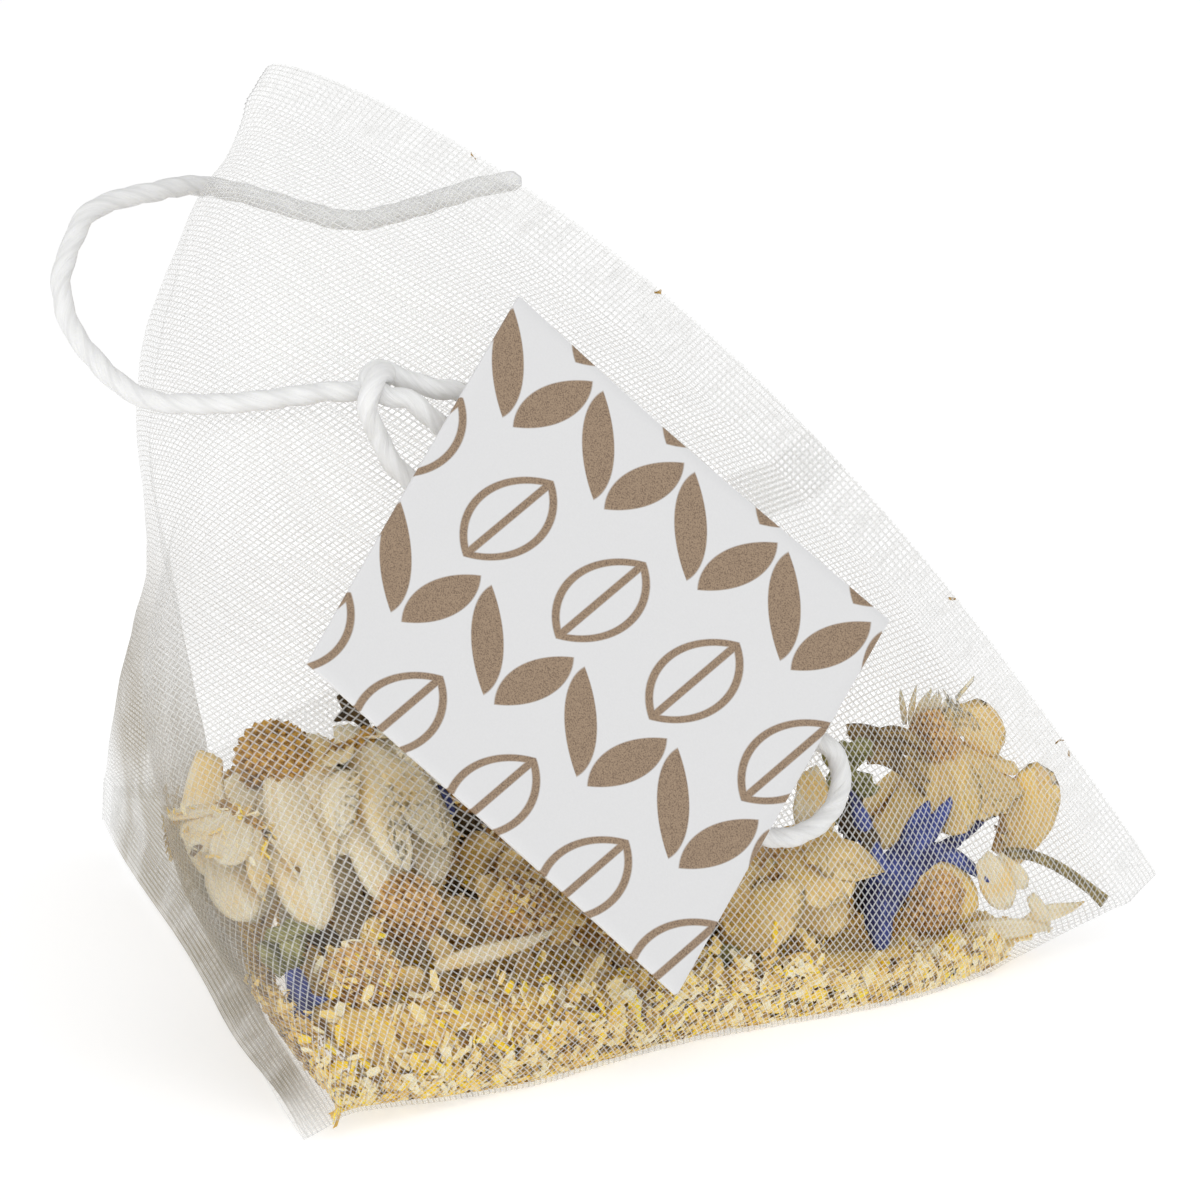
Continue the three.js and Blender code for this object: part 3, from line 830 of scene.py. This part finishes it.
def dried_petal(name, pale, deep, stain):
    """Papery petals: fine veins along them, stained darker in patches."""
    finish = Finish(name)
    across, along = finish.uv()
    veins = finish.noise(finish.vector(across * 26, along * 1.6), 1.0, 2.0)
    patches = finish.noise(finish.place(), 0.42 / mm, 2.0)
    colour = finish.mix(veins.step(0.3, 0.7), deep, pale)
    colour = finish.mix(patches.step(0.5, 0.72) * 0.8, colour, stain)
    normal = finish.bump(veins, 0.05 * mm, 0.9)
    return finish.surface(Base_Color=colour, Roughness=0.75, Normal=normal, Subsurface_Weight=0.15,
                          Subsurface_Radius=(0.5 * mm, 0.4 * mm, 0.25 * mm))


def floret_crust(name, light, dark):
    """Tiny dry florets: light at their tips and dark between them."""
    finish = Finish(name)
    grains = finish.noise(finish.place(), 3.2 / mm, 3.0)
    patches = finish.noise(finish.place(), 0.5 / mm, 1.0)
    colour = finish.mix((grains * 0.7 + patches * 0.5).step(0.4, 0.75), dark, light)
    normal = finish.bump(grains, 0.08 * mm, 0.8)
    return finish.surface(Base_Color=colour, Roughness=0.85, Normal=normal)


ivory = dried_petal("ivory_petal", (0.95, 0.88, 0.67, 1), (0.82, 0.66, 0.38, 1), (0.88, 0.6, 0.18, 1))
tan = dried_petal("tan_petal", (0.88, 0.69, 0.33, 1), (0.7, 0.46, 0.14, 1), (0.88, 0.6, 0.14, 1))
crust_tan = floret_crust("tan_florets", (0.78, 0.49, 0.17, 1), (0.3, 0.15, 0.04, 1))
crust_ochre = floret_crust("ochre_florets", (0.66, 0.37, 0.06, 1), (0.22, 0.11, 0.02, 1))
button = button_master()

# The heads, in the order of the CAD nodes that they stand for: the button's centre in the
# drawing and its radii, the way it faces, the materials of button and petals, and the
# petals: how many, their length and width, and the angles at which they open and close.
flower_heads = [
    ((0.9, -14.4, 15.0), (1.75, 1.75, 1.6), (-0.25, -0.3, 0.9), crust_ochre, ivory, (13, 6.8, 2.3, 125, -38)),
    ((4.9, -13.7, 14.9), (1.5, 1.5, 1.5), (0.34, -0.12, -0.93), crust_ochre, ivory, (15, 7.6, 2.4, 70, 66)),
    ((-1.3, -17.6, 12.6), (1.3, 1.3, 1.3), (-0.5, -0.2, -0.8), crust_ochre, ivory, (9, 4.6, 2.3, 60, 40)),
    ((6.7, -18.2, 8.2), (1.6, 1.5, 2.1), (-0.3, -0.6, 0.7), crust_tan, tan, (6, 2.4, 1.1, 120, -30)),
    ((3.8, -21.9, 6.2), (1.7, 1.4, 1.5), (-0.2, -0.9, 0.35), crust_tan, tan, (5, 2.0, 1.0, 110, -20)),
    ((12.3, -16.2, 7.3), (1.6, 1.6, 1.6), (0.4, -0.7, 0.5), crust_tan, tan, (7, 2.8, 1.2, 110, -30)),
    ((16.6, -13.6, 7.0), (2.1, 2.1, 2.2), (0.2, -0.8, 0.5), crust_ochre, tan, (9, 3.2, 1.6, 100, 20)),
    ((25.7, -8.2, 6.3), (2.3, 2.1, 2.0), (0.5, -0.1, -0.8), crust_tan, tan, (8, 5.8, 5.2, 74, 96)),
    ((35.5, -1.6, 11.0), (1.4, 1.1, 1.6), (-0.25, -0.1, 0.9), crust_tan, tan, (8, 5.4, 3.8, 142, 24)),
    ((38.3, -1.0, 7.6), (0.9, 0.5, 0.9), (-0.7, 0.1, -0.3), crust_tan, tan, (5, 1.8, 1.8, 100, 50)),
    ((34.7, -4.9, 4.1), (2.0, 1.6, 1.5), (0.5, -0.5, 0.3), crust_tan, tan, (6, 2.2, 1.6, 100, 20)),
    ((6.4, -9.8, 9.8), (2.1, 2.1, 2.1), (0.3, -0.3, 0.8), crust_ochre, ivory, (12, 5.4, 1.9, 115, -25)),
    ((3.9, -1.0, 8.6), (2.1, 2.1, 2.0), (-0.5, 0.1, 0.7), crust_ochre, ivory, (12, 5.6, 1.9, 115, -25)),
    ((12.4, -5.2, 7.2), (2.1, 2.1, 2.0), (0.1, -0.6, 0.6), crust_tan, ivory, (10, 4.8, 1.8, 105, -20)),
    ((3.6, 9.2, 6.6), (2.0, 2.0, 1.9), (-0.4, 0.5, 0.7), crust_ochre, ivory, (11, 5.0, 1.9, 110, -20)),
    ((19.8, -6.0, 6.0), (2.0, 2.0, 1.9), (0.4, -0.5, 0.6), crust_ochre, tan, (9, 4.0, 1.8, 110, -20)),
    ((12.2, 6.0, 5.8), (2.0, 2.0, 1.8), (0.4, 0.5, 0.7), crust_ochre, ivory, (11, 4.6, 1.8, 110, -20)),
]


def flower_head(number, at, radii, facing, crust, petal, ring):
    """One head, its petals on its button."""
    centre, axis = drawn(*at), Vector(facing).normalized()
    dome = as_piece("dome", button.data.copy())
    dome.data.transform(pose_along(centre, axis, [radius * mm for radius in radii]))
    dome.data.materials.append(crust)
    petals, length, width, opening, closing = ring
    leaves = petals_of(centre, axis, radii[0] * mm, petals, length * mm, width * mm, opening, closing)
    corolla = thickened(joined("corolla", leaves), 0.09 * mm)
    corolla.data.shade_smooth()
    corolla.data.materials.append(petal)
    head = joined(f"chamomile_{number}", [dome, corolla])
    keep_in_bag(head)
    into_frame(head, "flower", f"flower_head_{number}")


for number, head in enumerate(flower_heads, start=1):
    flower_head(number, *head)
bpy.data.objects.remove(button)

# ---------------------------------------------------------------- cornflower
# Blue cornflower florets: each a narrow trumpet that splits into long pointed lobes. One
# lies across the chamomile on the right, and a scrap of another by corner C.


def blue_petal():
    finish = Finish("blue_petal")
    across, along = finish.uv()
    veins = finish.noise(finish.vector(across * 12, along * 2), 1.0, 2.0)
    patches = finish.noise(finish.place(), 0.7 / mm, 2.0)
    colour = finish.mix(patches.step(0.35, 0.65), (0.02, 0.018, 0.09, 1), (0.055, 0.075, 0.3, 1))
    colour = finish.mix(veins.step(0.5, 0.75) * 0.6, colour, (0.14, 0.21, 0.55, 1))
    return finish.surface(Base_Color=colour, Roughness=0.7, Normal=finish.bump(veins, 0.05 * mm, 0.8))


scrap_facing = Vector((0.2, -0.9, 0.3)).normalized()
scrap_thickness = 0.08 * mm


def blade_through(places, half, outline=pointed_outline, **shape):
    """A blade along a few places in the drawing, its half width in millimetres."""
    return blade([drawn(*place) for place in places], outline(half * mm), scrap_facing, **shape)


def blades_through(*rows, **shape):
    """A blade for each row: its half width, its cup and the places that it goes through."""
    return [blade_through(places, half, cup=cup, **shape) for half, cup, *places in rows]


def loose_scraps(name, blades, finish, slot, *nodes):
    """Thin scraps as one piece of one material."""
    scraps = thickened(joined(name, blades), scrap_thickness)
    scraps.data.shade_smooth()
    scraps.data.materials.append(finish)
    keep_in_bag(scraps)
    into_frame(scraps, slot, *nodes)


blue = blue_petal()
loose_scraps("cornflower_floret", blades_through(
    (0.75, 1.1, (31.6, -8.0, 3.6), (31.2, -7.6, 5.6), (33.2, -6.2, 6.4), (34.6, -5.2, 8.2)),
    (0.85, 1.1, (31.4, -8.4, 3.4), (32.4, -7.0, 5.6), (34.6, -5.6, 6.6), (36.2, -4.6, 6.6)),
    (0.26, 0.6, (34.0, -5.6, 6.4), (36.4, -4.2, 6.6), (38.3, -1.9, 7.0), (39.0, -1.3, 8.9)),
    (0.42, 0.6, (34.0, -5.8, 6.6), (35.6, -4.8, 6.5), (36.5, -4.6, 5.6), (37.6, -4.6, 4.6)),
    (0.8, 0.6, (33.2, -6.2, 5.2), (33.6, -6.0, 6.4), (34.2, -5.2, 8.0), (34.6, -4.6, 8.8)),
    (0.75, 0.8, (31.8, -8.2, 5.6), (31.4, -8.0, 4.4), (31.9, -8.4, 3.2), (31.4, -8.6, 2.2)),
    (0.45, 0.7, (33.2, -6.2, 6.0), (34.6, -5.4, 7.4), (35.3, -4.9, 8.2), (35.8, -4.6, 9.0)),
    (0.5, 0.8, (32.2, -7.0, 5.8), (31.0, -6.8, 7.6), (31.2, -6.5, 8.8), (30.2, -6.3, 10.2)),
), blue, "blue_petal", "cornflower_1")
loose_scraps("cornflower_scrap", blades_through(
    (0.6, 0.5, (0.4, -23.2, 7.0), (0.8, -23.6, 6.0), (1.0, -24.0, 5.0), (0.6, -24.3, 4.2)),
    (0.35, 0.5, (0.0, -23.2, 5.6), (0.6, -23.8, 5.8), (1.2, -23.8, 5.4), (2.0, -23.6, 5.6)),
    (0.4, 0.5, (8.6, -15.2, 13.3), (9.0, -15.0, 12.8), (9.3, -14.8, 12.4), (9.6, -14.6, 11.8)),
), blue, "blue_petal", "cornflower_2")

# ---------------------------------------------------------------- stalk and leaves
# A dry, ribbed piece of flower stalk near corner B, and shrivelled bits of leaf and sepal,
# dark brown and olive, that lie between the heads. The darkest bits are partly painted shade in the gaps.


def dry_green(name, dark, light):
    finish = Finish(name)
    across, along = finish.uv()
    ribs = finish.noise(finish.vector(across * 9, along * 1.5), 1.0, 2.0)
    patches = finish.noise(finish.place(), 0.9 / mm, 2.0)
    colour = finish.mix((ribs * 0.6 + patches * 0.5).step(0.4, 0.75), dark, light)
    return finish.surface(Base_Color=colour, Roughness=0.8, Normal=finish.bump(ribs, 0.06 * mm, 0.9))


def ribbed_stalk(path, radius, sides=10, rings=24):
    """A cylinder drawn out along a curve, ribbed, a little thicker at its ends."""
    deselect_all()
    bpy.ops.mesh.primitive_cylinder_add(vertices=sides, radius=1, depth=2)
    stalk = bpy.context.object
    bpy.ops.object.mode_set(mode="EDIT")
    for cut in range(1, rings):
        bpy.ops.mesh.select_all(action="SELECT")
        bpy.ops.mesh.bisect(plane_co=(0, 0, -1 + 2 * cut / rings), plane_no=(0, 0, 1))
    bpy.ops.object.mode_set(mode="OBJECT")
    points = [drawn(*place) for place in path]
    for vertex in stalk.data.vertices:
        share = (vertex.co.z + 1) / 2
        angle = math.atan2(vertex.co.y, vertex.co.x)
        ahead = ahead_at(points, share)
        side = ahead.cross(Vector((0, 0, 1))).normalized()
        girth = 1 + 0.12 * math.cos(5 * angle) + 0.35 * abs(2 * share - 1) ** 6
        ring = side * math.cos(angle) + side.cross(ahead) * math.sin(angle)
        vertex.co = curve_at(points, share) + ring * radius * girth
    stalk.name = "dry_stalk"
    bpy.ops.object.shade_smooth_by_angle(angle=math.radians(50))
    return stalk


stalk = ribbed_stalk([(38.8, -3.0, 5.5), (40.2, -2.2, 5.6), (42.4, -1.4, 4.1), (44.2, -0.8, 2.3)], 0.27 * mm)
stalk.data.materials.append(dry_green("stalk", (0.13, 0.1, 0.04, 1), (0.42, 0.33, 0.13, 1)))
keep_in_bag(stalk)
into_frame(stalk, "stalk", "flower_stalk")

dark_leaf_and_shade = dry_green("dark_leaf_and_shade", (0.03, 0.018, 0.006, 1), (0.2, 0.13, 0.045, 1))
olive_leaf = dry_green("olive_leaf", (0.16, 0.15, 0.04, 1), (0.45, 0.42, 0.16, 1))


def crumpled_leaves(places, half):
    """Small shrivelled blades about these places, each lying its own way."""
    blades = []
    for at in places:
        for _ in range(3):
            start = Vector([value + chance.uniform(-0.5, 0.5) for value in at])
            way = Vector([chance.uniform(-1, 1) for _ in range(3)]).normalized() * 1.3
            sag = Vector([chance.uniform(-0.5, 0.5) for _ in range(3)])
            path = [start - way, start - way / 3 + sag, start + way / 3 - sag, start + way]
            own_half, twist = half * chance.uniform(0.6, 1.1), chance.uniform(-1, 1)
            blades.append(blade_through(path, own_half, cup=0.6, twist=twist))
    return blades


# Nearly black scraps of leaf in the gaps between the heads: partly dried leaf, partly painted shade that
# darkens those gaps.
leaf_and_shade_places = [
    (5.6, -11.6, 16.2), (3.5, -14.6, 10.7), (4.2, -15.0, 9.2), (10.2, -13.4, 10.8), (10.0, -14.6, 8.0),
    (2.6, -19.0, 7.6), (5.2, -20.2, 5.4), (31.0, -6.2, 7.4), (31.3, -6.4, 5.8), (31.2, -6.4, 4.4),
    (30.4, -6.0, 8.6), (18.6, -11.0, 5.4), (22.6, -9.2, 4.4), (0.8, -5.0, 6.0), (26.4, -5.0, 3.4),
]
loose_scraps("dark_leaves_and_shade", crumpled_leaves(leaf_and_shade_places, 0.5), dark_leaf_and_shade, "leaf", "leaf_1")
loose_scraps("sepals", blades_through(
    (0.42, 0.5, (30.6, -4.4, 12.5), (32.0, -3.6, 12.2), (33.4, -3.2, 11.4), (34.9, -3.2, 10.4)),
    (0.42, 0.5, (30.8, -4.4, 12.3), (32.2, -3.8, 11.6), (33.6, -3.4, 10.4), (34.9, -3.4, 9.4)),
    (0.36, 0.5, (31.6, -4.2, 10.9), (32.8, -3.6, 11.2), (33.8, -3.4, 10.2), (34.8, -3.6, 8.6)),
    (0.3, 0.5, (32.2, -4.0, 12.1), (33.2, -3.6, 12.4), (34.2, -3.2, 11.6), (35.2, -3.0, 10.8)),
), dry_green("sepal", (0.1, 0.055, 0.015, 1), (0.5, 0.33, 0.1, 1)), "leaf")
olive_places = [
    (1.0, -21.2, 7.8), (0.6, -20.6, 6.8), (24.0, -12.4, 3.6), (24.6, -12.0, 4.2), (30.4, -5.6, 11.6),
    (30.2, -5.8, 10.2), (-1.4, -14.6, 9.4), (-1.2, -10.0, 8.0), (0.0, -6.0, 5.6), (0.4, 2.0, 5.0),
    (29.4, -6.4, 9.4),
]
loose_scraps("olive_leaves", crumpled_leaves(olive_places, 0.6), olive_leaf, "leaf", "leaf_2")

# ---------------------------------------------------------------- loose petals
# Petals and shreds that have come off the heads: long ivory ones at the front left, ragged
# ones near corner B, a fringe of fine strands by the top head there, and round tan ones.

loose_scraps("loose_petals", [
    blade_through([(7.6, -20.6, 6.0), (9.6, -19.9, 6.5), (11.6, -18.9, 6.1), (14.2, -17.6, 6.9)], 0.42,
                  cup=0.4),
    *blades_through(
        (0.95, 0.0, (37.2, -4.8, 5.9), (37.6, -4.4, 5.2), (38.2, -4.2, 4.2), (38.8, -3.9, 3.1)),
        (0.55, 0.0, (38.2, -3.8, 5.7), (38.6, -3.8, 5.0), (39.3, -3.6, 4.6), (39.7, -3.4, 3.9)),
        outline=petal_outline, grooves=0.1,
    ),
    *blades_through(
        (0.42, 0.0, (39.6, -3.3, 1.9), (40.6, -2.8, 2.7), (41.6, -2.4, 2.2), (43.0, -1.7, 2.6)),
        (0.4, 0.0, (40.0, -3.0, 3.4), (40.4, -2.9, 2.7), (40.8, -2.8, 2.1), (41.0, -2.8, 1.4)),
        (0.5, 0.0, (36.4, -5.0, 2.4), (38.0, -4.4, 2.0), (39.6, -3.7, 2.2), (41.2, -2.9, 1.6)),
    ),
    *blades_through(
        (1.35, 0.3, (-2.2, -15.6, 15.6), (-3.0, -17.4, 13.9), (-2.8, -18.8, 12.2), (-2.0, -19.8, 10.4)),
        (1.2, 0.3, (-2.4, -18.6, 12.4), (-2.4, -19.6, 11.4), (-1.8, -20.4, 10.2), (-1.2, -20.8, 8.8)),
        (1.6, 0.3, (1.3, -14.8, 15.2), (1.2, -17.4, 13.6), (1.6, -19.4, 10.8), (2.0, -20.9, 8.2)),
        (1.35, 0.3, (3.2, -13.6, 15.8), (3.0, -15.6, 14.6), (3.4, -17.0, 12.8), (3.8, -17.9, 11.0)),
        (1.45, 0.3, (4.8, -12.8, 16.0), (5.0, -15.9, 14.4), (5.4, -18.0, 11.6), (5.7, -19.2, 8.8)),
        (1.25, 0.3, (6.9, -12.6, 14.8), (8.0, -14.8, 13.2), (8.4, -16.4, 11.2), (8.0, -17.2, 9.2)),
        outline=petal_outline, grooves=0.1, along=14,
    ),
    blade_through([(28.0, -7.6, 11.4), (28.4, -7.2, 10.2), (28.3, -7.4, 9.0), (28.6, -7.8, 7.8)], 1.1,
                  outline=petal_outline, grooves=0.1),
], ivory, "flower")
golden_places = [
    (12.2, -15.2, 9.4), (13.6, -15.2, 8.4), (15.2, -14.8, 7.4), (16.6, -14.6, 6.4), (18.0, -14.2, 5.6),
    (14.2, -16.0, 6.8), (10.8, -14.6, 9.8), (8.8, -14.4, 9.8), (20.4, -12.6, 5.4), (11.6, -16.6, 7.8),
]
fringe = []
for strand in range(12):
    foot = (34.0 + 0.28 * strand, -1.6, 11.9)
    lean = chance.uniform(-0.5, 0.5)
    fringe.append([
        foot, (foot[0] + lean * 0.2, -1.6, 12.6), (foot[0] + lean, -1.7, 13.1),
        (foot[0] + lean * 2, -1.8, 13.2 + chance.uniform(0, 0.8)),
    ])
loose_scraps("fringe", [blade_through(path, 0.16, cup=0.4, across=2) for path in fringe], ivory, "flower")
loose_scraps("round_petals", [
    *crumpled_leaves(golden_places, 0.95),
    *blades_through(
        (1.5, 0.3, (38.9, -1.9, 5.0), (40.0, -1.4, 6.2), (41.1, -0.8, 7.6), (40.6, -0.6, 9.4)),
        (1.2, 0.3, (36.2, -2.6, 12.2), (37.6, -1.4, 12.4), (38.4, -0.9, 11.2), (38.6, -0.9, 9.9)),
        (1.5, 0.4, (26.6, -9.6, 8.4), (28.2, -9.2, 8.2), (29.4, -8.9, 7.0), (29.2, -9.4, 5.6)),
        (1.6, 0.4, (26.0, -10.4, 6.4), (27.4, -10.4, 6.2), (28.8, -10.2, 5.4), (28.6, -10.4, 3.8)),
        (1.9, 0.4, (22.2, -11.4, 8.0), (23.6, -11.4, 7.4), (25.0, -11.2, 6.0), (25.4, -11.4, 4.2)),
        (1.4, 0.4, (33.0, -6.2, 5.6), (34.4, -6.0, 5.4), (36.4, -5.4, 4.4), (36.2, -5.6, 3.0)),
        outline=petal_outline, grooves=0.06,
    ),
], tan, "flower")

# ---------------------------------------------------------------- crumb
# What has sifted to the bottom of the bag: a bed of broken petals, florets and pollen, and
# the finer dust that clings to the mesh on the left side.


lump_size, grit_size = 2.2 * mm, 0.8 * mm


def crumb_heap():
    """The bed under the flakes: the CAD solid, softened and made uneven."""
    heap = as_piece("crumb_heap", bpy.data.objects["crumb_bed"].data.copy())
    heap.data.materials.clear()
    select_only(heap)
    bpy.ops.object.mode_set(mode="EDIT")
    bpy.ops.mesh.select_all(action="SELECT")
    bpy.ops.mesh.remove_doubles(threshold=0.01 * mm)
    bpy.ops.object.mode_set(mode="OBJECT")
    even = heap.modifiers.new("even", "REMESH")
    even.mode = "VOXEL"
    even.voxel_size = 0.45 * mm
    bpy.ops.object.modifier_apply(modifier="even")
    for vertex in heap.data.vertices:
        lump = noise.noise(vertex.co / lump_size) * 0.5 + noise.noise(vertex.co / grit_size) * 0.3
        vertex.co += vertex.normal * lump * mm
    keep_in_bag(heap)
    heap.data.shade_smooth()
    return heap


flake_tones = [
    (0.0, (0.16, 0.09, 0.03)), (0.07, (0.45, 0.27, 0.07)), (0.2, (0.78, 0.51, 0.12)),
    (0.42, (0.9, 0.67, 0.22)), (0.64, (0.94, 0.78, 0.4)), (0.82, (0.96, 0.88, 0.62)),
    (0.88, (0.97, 0.66, 0.03)), (1.0, (0.97, 0.76, 0.08)),
]


def crumb_finish(name, tone_from):
    """Dry crumb of many tones. tone_from gives the tone's place among them."""
    finish = Finish(name)
    grain = finish.noise(finish.place(), 4 / mm, 2.0)
    ramp = finish.node("ValToRGB", {"stops": flake_tones}, {"Fac": tone_from(finish) + (grain - 0.5) * 0.12})
    return finish.surface(Base_Color=ramp, Roughness=0.85, Normal=finish.bump(grain, 0.05 * mm, 0.7))


def flake_masters():
    """A few flakes, one unit long: flat, curled and folded."""
    masters = []
    for bend, width in ((0.0, 0.55), (0.5, 0.4), (-0.35, 0.3), (0.8, 0.5), (0.2, 0.2)):
        deselect_all()
        bpy.ops.mesh.primitive_grid_add(x_subdivisions=1, y_subdivisions=2, size=1)
        flake = bpy.context.object
        for vertex in flake.data.vertices:
            share = vertex.co.y * 2
            vertex.co.x *= width * (1 - 0.45 * share * share)
            vertex.co.z = bend * share * share * 0.35 + 0.06 * vertex.co.x * share
        thickened(flake, 0.1)
        masters.append(flake)
    return masters


def scattered(name, masters, places, low, high, tone_top):
    """Flakes at these places, each its own size and tone, as one mesh."""
    points, faces, tones, used = [], [], [], 0
    shapes = []
    for master in masters:
        corners = np.array([vertex.co for vertex in master.data.vertices])
        shapes.append((corners, [tuple(face.vertices) for face in master.data.polygons]))
    for place, normal in places:
        corners, polygons = chance.choice(shapes)
        lean = Vector([chance.gauss(0, 0.45) for _ in range(3)])
        turn = (normal + lean).to_track_quat("Z", "Y").to_matrix()
        turn = np.array(turn @ Matrix.Rotation(chance.uniform(0, 2 * math.pi), 3, "Z"))
        size = chance.uniform(low, high) * mm
        points.append(corners @ turn.T * size + np.array(place))
        faces += [tuple(used + corner for corner in polygon) for polygon in polygons]
        tones += [chance.random() * tone_top] * len(corners)
        used += len(corners)
    mesh = bpy.data.meshes.new(name)
    mesh.from_pydata(np.concatenate(points).tolist(), [], faces)
    mesh.attributes.new("tone", "FLOAT", "POINT").data.foreach_set("value", tones)
    piece = as_piece(name, mesh)
    keep_in_bag(piece)
    return piece


def places_on(piece, count, sink):
    """Places spread evenly over a piece's surface, a little above or below it."""
    faces = list(piece.data.polygons)
    picks = chance.choices(faces, weights=[face.area for face in faces], k=count)
    places = []
    for face in picks:
        corners = [piece.data.vertices[corner].co for corner in face.vertices]
        shares = [chance.random() for _ in corners]
        spot = sum((corner * share for corner, share in zip(corners, shares)), Vector()) / sum(shares)
        places.append((spot + face.normal * chance.uniform(-sink, sink) * mm, face.normal.copy()))
    return places


def near_wall(girth, length, deep):
    """A place in the bag, this many millimetres in from its wall."""
    spot, normal = mesh_points(girth, length), bag_normals(girth, length)
    return drawn(*(spot - normal * deep)), Vector(-normal)


crumb_end = 0.94  # of the bag's length: no crumb lies past this, so near the weld


def room_at(length):
    """How deep in from the wall crumb can lie, in millimetres: the bag closes to a weld."""
    return 14 * (0.96 - length)


def fold_places(count):
    """Along the fold from B to C, which the crumb fills, deepest near C."""
    places = []
    for _ in range(count):
        length = chance.uniform(0.2, crumb_end)
        girth = 0.5 - length / 4 + chance.gauss(0.004, 0.01 + 0.02 * length)
        room = min(1.6, room_at(length))
        places.append(near_wall(girth, length, 0.24 + room * chance.random() ** 3))
    return places


dust_top = 6 * mm


def dust_places(count):
    """Against the left side, thickest along the lower seal."""
    places = []
    for _ in range(count):
        length = crumb_end - abs(chance.gauss(0, 0.06))
        girth = chance.uniform(-0.12, 0.23)
        place, normal = near_wall(girth, length, 0.25 + room_at(length) * chance.random())
        if place.z < dust_top:
            places.append((place, normal))
    return places


heap = crumb_heap()
heap.data.materials.append(crumb_finish(
    "crumb_heap", lambda finish: finish.noise(finish.place(), 1.3 / mm, 3.0) * 0.55 + 0.02))
into_frame(heap, "crumb", "crumb_bed")
masters = flake_masters()
own_tone = crumb_finish(
    "crumb_flakes", lambda finish: finish.node("Attribute", {"attribute_name": "tone"}, output=2))
cornflower_x, cornflower_floor, cornflower_reach = drawn(33, 0, 0).x, 2.2 * mm, 5 * mm


def below_cornflower(places):
    """Without those that would lie in front of the cornflower."""
    kept = []
    for place, normal in places:
        if place.z < cornflower_floor or abs(place.x - cornflower_x) > cornflower_reach:
            kept.append((place, normal))
    return kept


crumbed = [bpy.data.objects[f"chamomile_{number}"] for number in (3, 5, 6, 7, 14, 16)]
on_heads = [place for head in crumbed for place in places_on(head, 260, 0.3)]
speck_girths = (0.087, 0.179, 0.353, 0.426, 0.433)  # brown specks caught in the upper seal
# Each layer of crumb: its places, the flakes' least and greatest length in millimetres,
# and the top of the range that their tones come from.
for name, places, low, high, tone_top in (
    ("crumb_flakes", below_cornflower(places_on(heap, 7000, 0.3)), 0.4, 1.35, 1),
    ("crumb_on_heads", on_heads, 0.3, 1.0, 1),
    ("crumb_in_fold", below_cornflower(fold_places(4600)), 0.35, 1.2, 1),
    ("crumb_dust", dust_places(3000), 0.25, 0.8, 0.5),
    ("seal_specks", [near_wall(girth, 0.003, 0.1) for girth in speck_girths], 0.3, 0.5, 0.1),
):
    crumb = scattered(name, masters, places, low, high, tone_top)
    crumb.data.materials.append(own_tone)
    into_frame(crumb, "crumb")
for master in masters:
    bpy.data.objects.remove(master)
